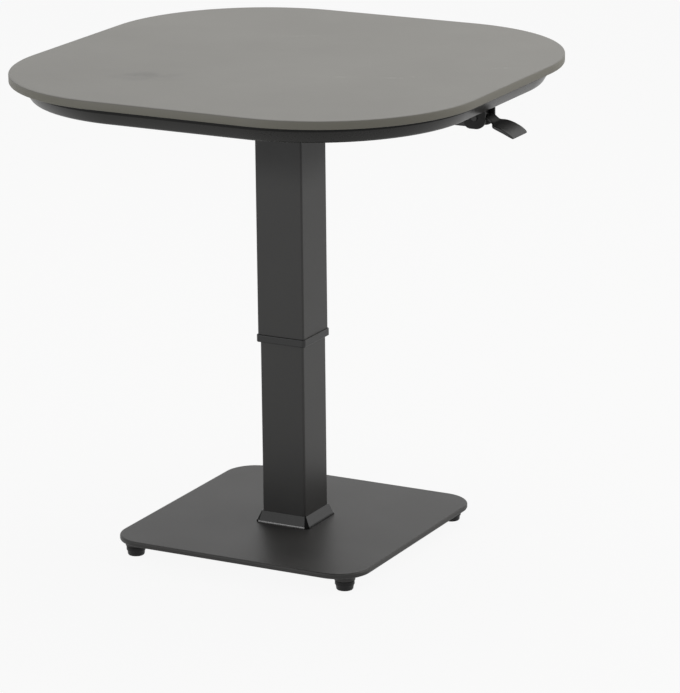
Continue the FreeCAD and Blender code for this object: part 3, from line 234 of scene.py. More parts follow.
# %% [markdown]
# ## Words for patterns
# The finishes share a few steps: take the place on the piece in metres, lay a noise over it at a real
# size, turn a number into a colour, and press a height into the surface. Each finish could add these
# nodes by itself. With a helper for each step, a finish reads like a recipe.


# %% Pattern helpers
NOISE_ROUGHNESS = 0.55


def start_finish(name):
    finish = bpy.data.materials.new(name)
    finish.use_nodes = True
    shader = finish.node_tree.nodes["Principled BSDF"]
    place = Wire(finish.node_tree).node("TexCoord", out="Object")
    return finish, shader, place


def mottle(place, size, detail, seed):
    return place.node(
        "TexNoise",
        {"noise_dimensions": "4D"},
        {"Vector": place, "W": seed, "Scale": 1 / size, "Detail": detail, "Roughness": NOISE_ROUGHNESS},
    )


def stretched(place, scale):
    return place.node("Mapping", None, {"Vector": place, "Scale": scale})


def tones(mask, *stops):
    return mask.node("ValToRGB", {"stops": [(at, (*colour, 1)) for at, colour in stops]}, {0: mask})


def fade(mask, low, high):
    return mask.node(
        "MapRange",
        {"interpolation_type": "SMOOTHSTEP"},
        {"Value": mask, "From Min": low, "From Max": high, "To Min": 0.0, "To Max": 1.0},
    )


def tint(mask, below, above):
    return mask.node("Mix", {"data_type": "RGBA"}, {0: mask, 6: below, 7: above}, out=2)


def pressed(height, depth):
    return height.node("Bump", None, {"Strength": 1.0, "Distance": depth, "Height": height})


FINISHES = {}

# %% [markdown]
# ## Stone of the slab
# The top is a thin slab of sintered stone: warm grey, nearly even, with soft clouds, a darker smudge
# and a few short pale veins. A picture of stone would repeat and blur, so the pattern is built from
# noise at four sizes, and the smudge and veins are stretched round spots laid where they are seen.
# The sawn edge is a shade warmer than the polished face, so the colour also changes with height.

# %% Colours and marks of the stone
STONE_DARK = (0.170, 0.166, 0.152)
STONE_MIDDLE = (0.187, 0.183, 0.168)
STONE_PALE = (0.205, 0.201, 0.186)
STONE_SAWN = (0.204, 0.196, 0.160, 1)
STONE_SMUDGED = (0.10, 0.10, 0.095, 1)
STONE_VEINED = (0.42, 0.42, 0.40, 1)
POLISHED_ABOVE, SAWN_BELOW = 0.7096, 0.7080
CLOUD_SIZE, BLOTCH_SIZE, SPECKLE_SIZE, WISP_SIZE = 0.22, 0.035, 0.0016, 0.010
SMUDGE_SHARE, VEIN_SHARE = 0.55, 0.30
SMUDGE_BREAK, VEIN_BREAK = (0.36, 0.62), (0.40, 0.60)
STONE_GRAIN_DEPTH = 0.00008
SPOT_CORE = 0.15
# Each spot: its middle, its length and width in metres, and its turn in degrees
SMUDGE = ((-0.125, -0.175), 0.075, 0.042, 22)
VEINS = [
    ((0.124, -0.066), 0.030, 0.0035, 24),
    ((0.189, -0.043), 0.022, 0.0030, 20),
    ((-0.067, 0.158), 0.040, 0.0030, 27),
    ((0.298, 0.081), 0.024, 0.0035, 33),
    ((0.211, -0.025), 0.012, 0.0030, 20),
]


def round_spot(place, spot):
    (x, y), length, width, turn = spot
    local = place.node("VectorMath", {"operation": "SUBTRACT"}, {0: place, 1: (x, y, 0)})
    straight = place.node(
        "VectorRotate", {"rotation_type": "Z_AXIS"}, {"Vector": local, "Angle": -math.radians(turn)}
    )
    flat = place.node("VectorMath", {"operation": "MULTIPLY"}, {0: straight, 1: (1 / length, 1 / width, 0)})
    reach = place.node("VectorMath", {"operation": "LENGTH"}, {0: flat}, out="Value")
    return 1 - fade(reach, SPOT_CORE, 1.0)


print("marks on the stone: a smudge and", len(VEINS), "veins")

# %% Stone from noise
stone, stone_shader, stone_place = start_finish("warm_grey_stone")
clouds = mottle(stone_place, CLOUD_SIZE, 4, 1.0)
blotches = mottle(stone_place, BLOTCH_SIZE, 4, 2.0)
speckle = mottle(stone_place, SPECKLE_SIZE, 2, 3.0)
body_tone = clouds * 0.50 + blotches * 0.34 + speckle * 0.16
wisp = mottle(stone_place, WISP_SIZE, 3, 4.0)
smudge = round_spot(stone_place, SMUDGE) * fade(blotches, *SMUDGE_BREAK)
veins = sum(round_spot(stone_place, vein) for vein in VEINS) * fade(wisp, *VEIN_BREAK)
stone_colour = tones(body_tone, (0.36, STONE_DARK), (0.50, STONE_MIDDLE), (0.64, STONE_PALE))
stone_colour = tint(smudge * SMUDGE_SHARE, stone_colour, STONE_SMUDGED)
stone_colour = tint(veins * VEIN_SHARE, stone_colour, STONE_VEINED)
height = stone_place.node("SeparateXYZ", None, {0: stone_place}, out="Z")
polished = fade(height, SAWN_BELOW, POLISHED_ABOVE)
sawn = (1 - polished) * (blotches * 0.5 + 0.55)
stone_colour = tint(sawn, stone_colour, STONE_SAWN)
stone_place.plug(stone_colour, stone_shader.inputs["Base Color"])
stone_place.plug(blotches * 0.10 + speckle * 0.10 + 0.40, stone_shader.inputs["Roughness"])
stone_place.plug(pressed(speckle + blotches, STONE_GRAIN_DEPTH), stone_shader.inputs["Normal"])
FINISHES["slab_stone"] = stone
print("finish", stone.name)

# %% [markdown]
# ## Painted, moulded and bare finishes
# Powder coat, lacquer and gloss paint are one family: a dark colour that hardly changes, a fine peel
# in the surface, and a gloss that varies a little where hands and cloths have been. Moulded plastic
# has a finer spark-eroded grain. Bare metal reflects, with fine lines from drawing or rolling. Each
# family could be one material for all its pieces. A function with a table of values lets every piece
# differ in colour and gloss, and keeps the pattern the same.


# %% Paint family
PAINT_CLOUD, PAINT_SHADE, PAINT_LIGHT = 0.09, 0.86, 1.14


def paint(name, colour, roughness, peel_size, peel_depth, shine=0.5):
    finish, shader, place = start_finish(name)
    shader.inputs["Specular IOR Level"].default_value = shine
    peel = mottle(place, peel_size, 2, 5.0)
    cloud = mottle(place, PAINT_CLOUD, 4, 6.0)
    shade = tuple(part * PAINT_SHADE for part in colour)
    light = tuple(part * PAINT_LIGHT for part in colour)
    place.plug(tones(cloud * 0.8 + peel * 0.2, (0.35, shade), (0.65, light)), shader.inputs["Base Color"])
    place.plug(cloud * 0.12 + peel * 0.08 + (roughness - 0.10), shader.inputs["Roughness"])
    place.plug(pressed(peel, peel_depth), shader.inputs["Normal"])
    print("finish", name)
    return finish


# Each paint: slot, name, colour, roughness, size and depth of the peel, and shine where it isn't usual
PAINTS = [
    ("frame_paint", "anthracite_powder_coat", (0.0325, 0.0318, 0.0305), 0.46, 0.0011, 0.00006, 0.42),
    ("tube_paint", "anthracite_tube_coat", (0.0200, 0.0196, 0.0186), 0.42, 0.0011, 0.00006, 0.53),
    ("panel_lacquer", "dark_board_lacquer", (0.0150, 0.0146, 0.0130), 0.29, 0.0030, 0.00005, 0.29),
    # The matt black on the board's band is a painted shade; on the under face it is a black seal
    ("band_black", "matt_band_black", (0.007, 0.007, 0.0065), 0.58, 0.0020, 0.00005, 0.22),
    ("weld_paint", "painted_weld", (0.0262, 0.0257, 0.0247), 0.40, 0.0035, 0.0006, 0.42),
    ("link_paint", "black_rod_paint", (0.012, 0.012, 0.012), 0.42, 0.0008, 0.00004),
    ("spring_paint", "black_gloss_paint", (0.008, 0.008, 0.008), 0.22, 0.0016, 0.00003),
]
for slot, *looks in PAINTS:
    FINISHES[slot] = paint(*looks)

# %% [markdown]
# ## Shade painted into the coat under the board
# The top of the column is dark, because the board keeps light from it. A strong lamp at the front could
# throw that shade, but it would also shine in the skirt. A second material would leave a hard line. So
# the shade is painted into the coat: a mask from the piece's own height is mixed into its colour, as a
# painted shade, and into its roughness, so the coat gets darker and duller with height.

# %% Painted shade towards the tube's top
PAINTED_SHADE_FROM, PAINTED_SHADE_FULL_AT = 0.520, 0.590
PAINTED_SHADE_COLOUR, ADDED_ROUGHNESS = (0.004, 0.004, 0.004, 1), 0.14


def paint_shade_towards_top(finish):
    shader = finish.node_tree.nodes["Principled BSDF"]
    place = Wire(finish.node_tree).node("TexCoord", out="Object")
    height = place.node("SeparateXYZ", None, {0: place}, out="Z")
    # Painted shade: the coat darkens towards the top, where the board keeps light from the column
    darker = fade(height, PAINTED_SHADE_FROM, PAINTED_SHADE_FULL_AT)
    colour = Wire(place.tree, shader.inputs["Base Color"].links[0].from_socket)
    roughness = Wire(place.tree, shader.inputs["Roughness"].links[0].from_socket)
    place.plug(tint(darker, colour, PAINTED_SHADE_COLOUR), shader.inputs["Base Color"])
    place.plug(darker * ADDED_ROUGHNESS + roughness, shader.inputs["Roughness"])
    print(finish.name, "gets darker from", PAINTED_SHADE_FROM, "to", PAINTED_SHADE_FULL_AT, "m")


paint_shade_towards_top(FINISHES["tube_paint"])

# %% [markdown]
# ## Plastics and rubber
# A moulding takes on the fine grain of its steel mould, and is rubbed paler where it is touched. The
# pattern is close to the paint's, but one colour is the base and the other only lies on top, so it has
# a function of its own.


# %% Moulded plastics and rubber
RUB_SIZE, RUB_PALE = 0.018, 1.35


def moulded(name, colour, roughness, grain_size, grain_depth, shine=0.5):
    finish, shader, place = start_finish(name)
    shader.inputs["Specular IOR Level"].default_value = shine
    grain = mottle(place, grain_size, 3, 7.0)
    rub = mottle(place, RUB_SIZE, 4, 8.0)
    pale = tuple(part * RUB_PALE for part in colour)
    place.plug(tones(rub * 0.7 + grain * 0.3, (0.35, colour), (0.70, pale)), shader.inputs["Base Color"])
    place.plug(rub * 0.16 + grain * 0.10 + (roughness - 0.13), shader.inputs["Roughness"])
    place.plug(pressed(grain, grain_depth), shader.inputs["Normal"])
    print("finish", name)
    return finish


# Each moulding: slot, name, colour, roughness, size and depth of the grain, and shine if it isn't usual
MOULDINGS = [
    ("black_nylon", "black_moulded_nylon", (0.011, 0.011, 0.011), 0.38, 0.0006, 0.00004),
    ("bracket_black", "matt_bracket_black", (0.005, 0.005, 0.005), 0.52, 0.0006, 0.00004, 0.30),
    ("skirt_plastic", "black_gloss_plastic", (0.006, 0.006, 0.006), 0.20, 0.0030, 0.00001),
    # The skirt's matt black corners are a painted dark reflection
    ("corner_black", "matt_corner_black", (0.003, 0.003, 0.003), 0.70, 0.0006, 0.00004, 0.1),
    ("foot_plastic", "black_foot_plastic", (0.003, 0.003, 0.003), 0.48, 0.0008, 0.00006, 0.28),
    ("seal_rubber", "black_seal_rubber", (0.006, 0.006, 0.006), 0.62, 0.0005, 0.00005),
]
for slot, *looks in MOULDINGS:
    FINISHES[slot] = moulded(*looks)

# %% [markdown]
# ## Bare metals
# The gas spring's rod, the screws and the inserts are bare or plated. What tells them apart is colour
# and roughness. The fine lines are a noise stretched along the piece's height, which costs less than
# grooves in the mesh.


# %% Bare metals
LINE_STRETCH, DULL_SIZE, METAL_SHADE = (1, 1, 0.06), 0.012, 0.78


def bare_metal(name, colour, roughness, line_size, line_depth):
    finish, shader, place = start_finish(name)
    lines = mottle(stretched(place, LINE_STRETCH), line_size, 3, 9.0)
    dull = mottle(place, DULL_SIZE, 4, 10.0)
    shade = tuple(part * METAL_SHADE for part in colour)
    place.plug(tones(dull * 0.6 + lines * 0.4, (0.35, shade), (0.65, colour)), shader.inputs["Base Color"])
    shader.inputs["Metallic"].default_value = 1.0
    place.plug(dull * 0.14 + lines * 0.12 + (roughness - 0.13), shader.inputs["Roughness"])
    place.plug(pressed(lines, line_depth), shader.inputs["Normal"])
    print("finish", name)
    return finish


# Each metal: slot, name, colour, roughness, size and depth of the lines
METALS = [
    ("zinc_steel", "zinc_plated_steel", (0.60, 0.60, 0.58), 0.34, 0.0006, 0.00002),
    ("rod_chrome", "hard_chrome", (0.75, 0.75, 0.77), 0.16, 0.0004, 0.000005),
    ("piston_alloy", "turned_alloy", (0.70, 0.70, 0.72), 0.32, 0.0005, 0.00002),
    ("insert_brass", "turned_brass", (0.70, 0.50, 0.20), 0.30, 0.0005, 0.00002),
]
for slot, *looks in METALS:
    FINISHES[slot] = bare_metal(*looks)

# %% [markdown]
# ## Dressing the CAD pieces
# Most CAD pieces already have the right shape. They could be modelled again, but nothing would be won.
# They stay as they are, and only the material in their slot is exchanged for the finish of the same
# name. The two tubes of the column are drawn smoother than the plates, so they get a coat of their own.

# %% Finishes on the CAD pieces
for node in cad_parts.values():
    slot_of_node = node.material_slots[0]
    slot_of_node.material = FINISHES[slot_of_node.material.name]
for tube in ("outer_tube", "inner_tube"):
    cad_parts[tube].material_slots[0].material = FINISHES["tube_paint"]
print("dressed", len(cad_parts), "CAD pieces")

# %% [markdown]
# ## Modelling by hand, in code
# A new piece starts from a primitive of its size and is shaped in edit mode with the tools that a hand
# would use: inset, extrude, bevel, spin. An operator works on all that is selected, so `pick` clears
# the selection first, and then selects faces or edges by where they lie or which way they point.

# %% Starting a piece
def begin(name):
    piece = bpy.context.object
    piece.name = name
    piece.data.name = name
    bpy.ops.object.transform_apply(location=True, rotation=True, scale=True)
    return piece


def box_piece(name, low, high):
    low, high = Vector(low), Vector(high)
    bpy.ops.object.select_all(action="DESELECT")
    bpy.ops.mesh.primitive_cube_add(size=1, location=(low + high) / 2, scale=high - low)
    return begin(name)


def rod_piece(name, centre, radius, length, sides=48, turn=(0, 0, 0)):
    bpy.ops.object.select_all(action="DESELECT")
    bpy.ops.mesh.primitive_cylinder_add(
        vertices=sides, radius=radius, depth=length, location=centre, rotation=turn
    )
    return begin(name)


# %% Selecting by place and direction
TINY = 0.00001
SHARP = 0.5


def pick(piece, kind, test):
    if piece.mode != "EDIT":
        bpy.ops.object.mode_set(mode="EDIT")
    bpy.ops.mesh.select_mode(type=kind)
    bpy.ops.mesh.select_all(action="DESELECT")
    mesh = bmesh.from_edit_mesh(piece.data)
    for part in {"VERT": mesh.verts, "EDGE": mesh.edges, "FACE": mesh.faces}[kind]:
        if test(part):
            part.select_set(True)
    mesh.select_flush_mode()
    bmesh.update_edit_mesh(piece.data)


def upright(edge):
    return (edge.verts[0].co - edge.verts[1].co).xy.length < TINY


def level(part, height):
    return all(abs(corner.co.z - height) < TINY for corner in part.verts)


def rim_at(*heights):
    return lambda edge: edge.calc_face_angle(0) > SHARP and any(level(edge, height) for height in heights)


def cut_across(cuts):
    bpy.ops.object.mode_set(mode="EDIT")
    for point, normal in cuts:
        bpy.ops.mesh.select_all(action="SELECT")
        bpy.ops.mesh.bisect(plane_co=point, plane_no=normal)


# %% Modifiers that are applied at once
SOFTENED_ANGLE = math.radians(30)


def alone(piece):
    if piece.mode == "EDIT":
        bpy.ops.object.mode_set(mode="OBJECT")
    bpy.ops.object.select_all(action="DESELECT")
    piece.select_set(True)
    bpy.context.view_layer.objects.active = piece


def apply_modifier(piece, kind, **settings):
    alone(piece)
    modifier = piece.modifiers.new("step", kind)
    for name, value in settings.items():
        setattr(modifier, name, value)
    bpy.ops.object.modifier_apply(modifier="step")


def soften(piece, width):
    apply_modifier(
        piece, "BEVEL", width=width, segments=2, limit_method="ANGLE", angle_limit=SOFTENED_ANGLE
    )


def combine(piece, operation, others):
    for other in others:
        apply_modifier(piece, "BOOLEAN", operation=operation, solver="EXACT", object=other)
        bpy.data.meshes.remove(other.data)


# %% Finishing a piece
def finish_piece(piece, slot, body, *nodes, angle=35):
    alone(piece)
    bpy.ops.object.shade_smooth_by_angle(angle=math.radians(angle))
    piece.data.materials.clear()
    piece.data.materials.append(FINISHES[slot])
    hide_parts(*nodes)
    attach(piece, body)
    print(piece.name, "has", len(piece.data.polygons), "faces")


def second_finish(piece, slot, test):
    piece.data.materials.append(FINISHES[slot])
    pick(piece, "FACE", test)
    piece.active_material_index = 1
    bpy.ops.object.material_slot_assign()
    bpy.ops.object.mode_set(mode="OBJECT")
    print(piece.name, "has", sum(face.material_index for face in piece.data.polygons), "faces in", slot)


# %% [markdown]
# ## The stone slab
# The slab is cut from a sheet 12 mm thick, with wide round corners and a rim that is only just broken,
# so that it catches a thin line of light. It could be a curve with thickness. A box with beveled edges
# is simpler. A narrow inset keeps the large flat faces flat where the rim is shaded round.

# %% Slab with a broken rim
SLAB_CORNER, SLAB_RIM, SLAB_MARGIN = 0.230, 0.0015, 0.006
CORNER_STEPS = 56
FACING_UP_OR_DOWN = 0.9
SCREW_PLACE = 0.095
slab_low, slab_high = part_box("top_slab")
slab = box_piece("stone_slab", slab_low, slab_high)
pick(slab, "EDGE", upright)
bpy.ops.mesh.bevel(offset=SLAB_CORNER, segments=CORNER_STEPS, affect="EDGES")
pick(slab, "FACE", lambda face: abs(face.normal.z) > FACING_UP_OR_DOWN)
bpy.ops.mesh.inset(thickness=SLAB_MARGIN)
pick(slab, "EDGE", rim_at(slab_low.z, slab_high.z))
bpy.ops.mesh.bevel(offset=SLAB_RIM, segments=4, affect="EDGES")
bpy.ops.object.mode_set(mode="OBJECT")
_, insert_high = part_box("slab_inserts")
insert_radius = insert_high.x - SCREW_PLACE
insert_length = insert_high.z - slab_low.z
combine(slab, "DIFFERENCE", [
    rod_piece("insert_hole", (x, y, slab_low.z), insert_radius, 2 * insert_length)
    for x in (-SCREW_PLACE, SCREW_PLACE) for y in (-SCREW_PLACE, SCREW_PLACE)
])
finish_piece(slab, "slab_stone", "top", "top_slab")

# %% [markdown]
# ## The skirt round the column's foot
# A glossy moulded cover hides the weld at the bottom of the column: a bevelled lip that catches the
# light, sides that slope up to the tube, and corners cut off flat. Their matt black is a painted dark
# reflection. It could be a loft between two squares. Here one inset with a depth makes the four sides
# of the lip, a flat one its ledge, and a third the four slopes. The hole is an inset that goes down to
# the plate, where the two edges are bridged.


# %% Sloped cover with a square hole
def square_hole(piece, wall, low, high):
    pick(piece, "FACE", lambda face: level(face, high))
    bpy.ops.mesh.inset(thickness=wall)
    bpy.ops.mesh.extrude_region_move(TRANSFORM_OT_translate={"value": (0, 0, low - high)})
    bpy.ops.mesh.delete(type="FACE")
    pick(piece, "FACE", lambda face: level(face, low))
    bpy.ops.mesh.delete(type="FACE")
    pick(piece, "EDGE", lambda edge: edge.is_boundary)
    bpy.ops.mesh.bridge_edge_loops()


SKIRT_CORNER = 0.0060
LIP_EDGE, LIP_HEIGHT, LIP_DEPTH, LIP_LEDGE = 0.0006, 0.0024, 0.0008, 0.0008
SKIRT_TOP, SKIRT_HOLE = 0.0364, 0.0352
skirt_low, skirt_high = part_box("skirt_cover")
lip_low = skirt_low.z + LIP_EDGE
lip_high = lip_low + LIP_HEIGHT
skirt = box_piece("skirt", skirt_low, (skirt_high.x, skirt_high.y, lip_low))
pick(skirt, "EDGE", upright)
bpy.ops.mesh.bevel(offset=SKIRT_CORNER, segments=1, affect="EDGES")
pick(skirt, "FACE", lambda face: level(face, lip_low))
bpy.ops.mesh.inset(thickness=LIP_DEPTH, depth=LIP_HEIGHT)
bpy.ops.mesh.inset(thickness=LIP_LEDGE)
slope_foot = skirt_high.x - LIP_DEPTH - LIP_LEDGE
bpy.ops.mesh.inset(thickness=slope_foot - SKIRT_TOP, depth=skirt_high.z - lip_high)
square_hole(skirt, SKIRT_TOP - SKIRT_HOLE, skirt_low.z, skirt_high.z)
finish_piece(skirt, "skirt_plastic", "base", "skirt_cover")


# %% Matt black corners of the skirt: a painted dark reflection
DIAGONAL_ERROR, TURNED_ASIDE = 0.05, 0.3


def on_corner(face):
    across, along = abs(face.normal.x), abs(face.normal.y)
    return abs(across - along) < DIAGONAL_ERROR and across > TURNED_ASIDE


# Painted dark reflection: the flat corner faces of the glossy skirt are made matt black
second_finish(skirt, "corner_black", on_corner)

# %% [markdown]
# ## The weld under the top plate
# The outer tube is welded all round to the plate that carries the board, and painted with it. A real
# bead is a chain of small scales, which nobody would see up here. This one is a square ring with a wide
# round on its lower rim, and the ripple comes from its finish.

# %% Weld bead
WELD_LEG, WELD_ROUND_SHARE, WELD_CORNER = 0.0032, 0.8, 0.006
_, tube_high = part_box("outer_tube")
weld_reach = tube_high.x + WELD_LEG
weld_low = tube_high.z - WELD_LEG
weld = box_piece("weld_bead", (-weld_reach, -weld_reach, weld_low), (weld_reach, weld_reach, tube_high.z))
pick(weld, "EDGE", upright)
bpy.ops.mesh.bevel(offset=WELD_CORNER, segments=6, affect="EDGES")
square_hole(weld, WELD_LEG, weld_low, tube_high.z)
on_lower_rim = rim_at(weld_low)
pick(weld, "EDGE", lambda edge: on_lower_rim(edge) and edge.verts[0].co.xy.length > tube_high.x + TINY)
bpy.ops.mesh.bevel(offset=WELD_LEG * WELD_ROUND_SHARE, segments=5, affect="EDGES")
finish_piece(weld, "weld_paint", "top")

# %% [markdown]
# ## Screws and bolts
# Button-head screws hold the board, socket-head bolts hold the column's foot, and small cross-head
# screws hold the lever's bracket. Each kind is turned: its half outline is drawn point by point with
# extrude and spun round. The hexagon or cross is carved out, and the finished screw is copied.


# %% Turned pieces
SEED_PLANE = 0.001


def turned_piece(name, outline, steps=40):
    bpy.ops.object.select_all(action="DESELECT")
    bpy.ops.mesh.primitive_plane_add(size=SEED_PLANE)
    piece = begin(name)
    bpy.ops.object.mode_set(mode="EDIT")
    bpy.ops.mesh.select_mode(type="VERT")
    bpy.ops.mesh.select_all(action="SELECT")
    bpy.ops.mesh.merge(type="CENTER")
    bpy.ops.transform.translate(value=(outline[0][0], 0, outline[0][1]))
    for (radius, height), (next_radius, next_height) in zip(outline, outline[1:]):
        step = (next_radius - radius, 0, next_height - height)
        bpy.ops.mesh.extrude_region_move(TRANSFORM_OT_translate={"value": step})
    bpy.ops.mesh.select_all(action="SELECT")
    bpy.ops.mesh.spin(steps=steps, angle=math.tau, center=(0, 0, 0), axis=(0, 0, 1))
    bpy.ops.mesh.select_all(action="SELECT")
    bpy.ops.mesh.remove_doubles(threshold=TINY)
    bpy.ops.mesh.normals_make_consistent(inside=False)
    bpy.ops.object.mode_set(mode="OBJECT")
    return piece


def copies(piece, places):
    made = []
    for place in places:
        alone(piece)
        bpy.ops.object.duplicate()
        twin = bpy.context.object
        bpy.ops.transform.translate(value=place)
        bpy.ops.object.transform_apply(location=True, rotation=True, scale=True)
        made.append(twin)
    bpy.data.meshes.remove(piece.data)
    return made


def square_places(middle, reach):
    return [(middle + x * reach, y * reach, 0) for x in (-1, 1) for y in (-1, 1)]


# %% Button-head screws under the top plate
TOP_SHANK, TOP_TIP, TOP_CHAMFER = 0.003, 0.0024, 0.0006
TOP_HEXAGON, TOP_HEXAGON_LENGTH = 0.0023, 0.0048
top_low, top_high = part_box("top_screws")
washer_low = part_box("top_washers")[0].z
head = top_high.x - SCREW_PLACE
button = turned_piece("top_screw", [
    (0, top_low.z), (head * 0.58, top_low.z), (head * 0.82, top_low.z + 0.0006),
    (head * 0.95, top_low.z + 0.0018), (head, washer_low - 0.0004), (head * 0.97, washer_low),
    (TOP_SHANK, washer_low), (TOP_SHANK, top_high.z - TOP_CHAMFER), (TOP_TIP, top_high.z), (0, top_high.z),
])
hexagon = rod_piece("hexagon", (0, 0, top_low.z), TOP_HEXAGON, TOP_HEXAGON_LENGTH, 6)
combine(button, "DIFFERENCE", [hexagon])
for screw in copies(button, square_places(0, SCREW_PLACE)):
    finish_piece(screw, "zinc_steel", "top", "top_screws")

# %% Socket-head bolts under the base plate
BOLT_PLACE = 0.020
BOLT_SHANK, BOLT_TIP, BOLT_CHAMFER = 0.004, 0.0033, 0.0008
BOLT_HEXAGON, BOLT_HEXAGON_LENGTH = 0.0034, 0.0060
bolt_low, bolt_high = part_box("base_bolts")
bolt_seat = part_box("base_washers")[0].z
head = bolt_high.x - BOLT_PLACE
socket_bolt = turned_piece("base_bolt", [
    (0, bolt_low.z), (head * 0.90, bolt_low.z), (head, bolt_low.z + 0.0006), (head, bolt_seat - 0.0003),
    (head * 0.97, bolt_seat), (BOLT_SHANK, bolt_seat), (BOLT_SHANK, bolt_high.z - BOLT_CHAMFER),
    (BOLT_TIP, bolt_high.z), (0, bolt_high.z),
])
hexagon = rod_piece("hexagon", (0, 0, bolt_low.z), BOLT_HEXAGON, BOLT_HEXAGON_LENGTH, 6)
combine(socket_bolt, "DIFFERENCE", [hexagon])
for bolt in copies(socket_bolt, square_places(0, BOLT_PLACE)):
    finish_piece(bolt, "zinc_steel", "base", "base_bolts")

# %% Cross-head screws in the lever's bracket
SMALL_HEAD, SMALL_HEAD_HEIGHT = 0.004, 0.0024
SMALL_SHANK, SMALL_POINT = 0.002, 0.003
SLOT_REACH, SLOT_HALF, SLOT_DEPTH, SLOT_CLEAR = 0.0021, 0.00045, 0.0014, 0.001
small_low, small_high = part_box("bracket_screws")
small_middle = (small_low.x + small_high.x) / 2
small_reach = small_high.y - SMALL_HEAD
small_seat = small_low.z + SMALL_HEAD_HEIGHT
cross_screw = turned_piece("bracket_screw", [
    (0, small_low.z), (0.0022, small_low.z + 0.0001), (0.0034, small_low.z + 0.0007),
    (SMALL_HEAD, small_low.z + 0.0018), (SMALL_HEAD, small_seat), (SMALL_SHANK, small_seat),
    (SMALL_SHANK, small_high.z - SMALL_POINT), (0, small_high.z),
], 32)
slot_low, slot_high = small_low.z - SLOT_CLEAR, small_low.z + SLOT_DEPTH
combine(cross_screw, "DIFFERENCE", [
    box_piece("slot", (-along, -across, slot_low), (along, across, slot_high))
    for along, across in ((SLOT_REACH, SLOT_HALF), (SLOT_HALF, SLOT_REACH))
])
for screw in copies(cross_screw, square_places(small_middle, small_reach)):
    finish_piece(screw, "zinc_steel", "top", "bracket_screws")

# %% [markdown]
# ## The lacquered board
# The slab lies on a fibreboard that is set back under it. Its edge has a short upright band and below
# that a lacquered slope, which the floor lights. The band's matt black is a painted shade under the
# slab's rim, and the under face is sealed in matt black.
# An outline swept round could make this edge. Here the box is the band, and one inset with a depth
# draws the slope.

# %% Board with a band and a slope
BOARD_SETBACK, BOARD_CORNER = 0.003, 0.229
BOARD_BAND, BAND_BREAK = 0.0074, 0.0006
BOARD_SLOPE, BOARD_ROUND = 0.011, 0.004
BOARD_BORE, PILOT_BORE = 0.0033, 0.00205
THROUGH = 0.1
board_low, board_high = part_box("under_panel")
band_low = board_high.z - BOARD_BAND
half_board = board_high.x - BOARD_SETBACK
board = box_piece(
    "lacquered_board", (-half_board, -half_board, band_low), (half_board, half_board, board_high.z)
)
pick(board, "EDGE", upright)
bpy.ops.mesh.bevel(offset=BOARD_CORNER, segments=CORNER_STEPS, affect="EDGES")
pick(board, "FACE", lambda face: level(face, band_low))
bpy.ops.mesh.inset(thickness=BOARD_SLOPE, depth=band_low - board_low.z)
pick(board, "EDGE", rim_at(board_low.z))
bpy.ops.mesh.bevel(offset=BOARD_ROUND, segments=5, affect="EDGES")
pick(board, "EDGE", rim_at(band_low))
bpy.ops.mesh.bevel(offset=BAND_BREAK, segments=2, affect="EDGES")
bpy.ops.object.mode_set(mode="OBJECT")
combine(board, "DIFFERENCE", [
    rod_piece("screw_hole", (x, y, board_low.z), BOARD_BORE, THROUGH, 32)
    for x, y, _ in square_places(0, SCREW_PLACE)
])
combine(board, "DIFFERENCE", [
    rod_piece("pilot_hole", (x, y, board_low.z), PILOT_BORE, 2 * (small_high.z - board_low.z), 24)
    for x, y, _ in square_places(small_middle, small_reach)
])
finish_piece(board, "panel_lacquer", "top", "under_panel")


# %% Painted shade on the band, and the sealed under face
FACING_ASIDE, FACING_DOWN = 0.2, -0.8


def painted_shade_band_or_sealed_under(face):
    # Painted shade: the upright band under the slab's rim is matt black; the under face is sealed black
    on_band = abs(face.normal.z) < FACING_ASIDE and face.calc_center_median().z > band_low
    return on_band or face.normal.z < FACING_DOWN


second_finish(board, "band_black", painted_shade_band_or_sealed_under)

# %% [markdown]
# ## Levelling feet
# Each foot is a black moulded puck on a threaded stud that screws into the base plate. The puck is
# turned with a collar at its top and a lower half that draws in a little. The thread is a row of
# narrow grooves, which looks the same as a helix at this size and keeps both ends closed.

# %% Moulded puck
pad_low, pad_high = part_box("foot_pad_front_right")
stud_low, stud_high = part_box("foot_stud_front_right")
puck = (pad_high.x - pad_low.x) / 2
stud = (stud_high.x - stud_low.x) / 2
foot_pad = turned_piece("foot_pad", [
    (0, 0), (puck - 0.0045, 0), (puck - 0.0028, 0.0006), (puck - 0.0019, 0.0018), (puck - 0.0012, 0.0070),
    (puck - 0.0004, 0.0080), (puck, 0.0087), (puck, pad_high.z - 0.0008), (puck - 0.0008, pad_high.z),
    (stud, pad_high.z), (stud, stud_low.z), (0, stud_low.z),
])
print("puck", round(2000 * puck, 1), "mm across")

# %% Stud with thread grooves
PITCH, GROOVE, STUD_CHAMFER = 0.0015, 0.0007, 0.0008
turns = int((stud_high.z - pad_high.z) / PITCH)
thread = [(0, stud_low.z), (stud, stud_low.z)]
for turn in range(turns):
    groove = pad_high.z + turn * PITCH
    thread += [(stud, groove), (stud - GROOVE, groove + PITCH / 2)]
thread += [(stud, pad_high.z + turns * PITCH), (stud - STUD_CHAMFER, stud_high.z), (0, stud_high.z)]
foot_stud = turned_piece("foot_stud", thread)
print("stud with", turns, "grooves")

# %% One foot at each corner
FOOT_PLACE = 0.170
corners = {
    f"{depth}_{side}": (x, y, 0)
    for depth, y in (("front", -FOOT_PLACE), ("back", FOOT_PLACE))
    for side, x in (("left", -FOOT_PLACE), ("right", FOOT_PLACE))
}
for name, twin in zip(corners, copies(foot_pad, corners.values())):
    finish_piece(twin, "foot_plastic", f"foot_{name}", f"foot_pad_{name}")
for name, twin in zip(corners, copies(foot_stud, corners.values())):
    finish_piece(twin, "zinc_steel", f"foot_{name}", f"foot_stud_{name}", angle=25)

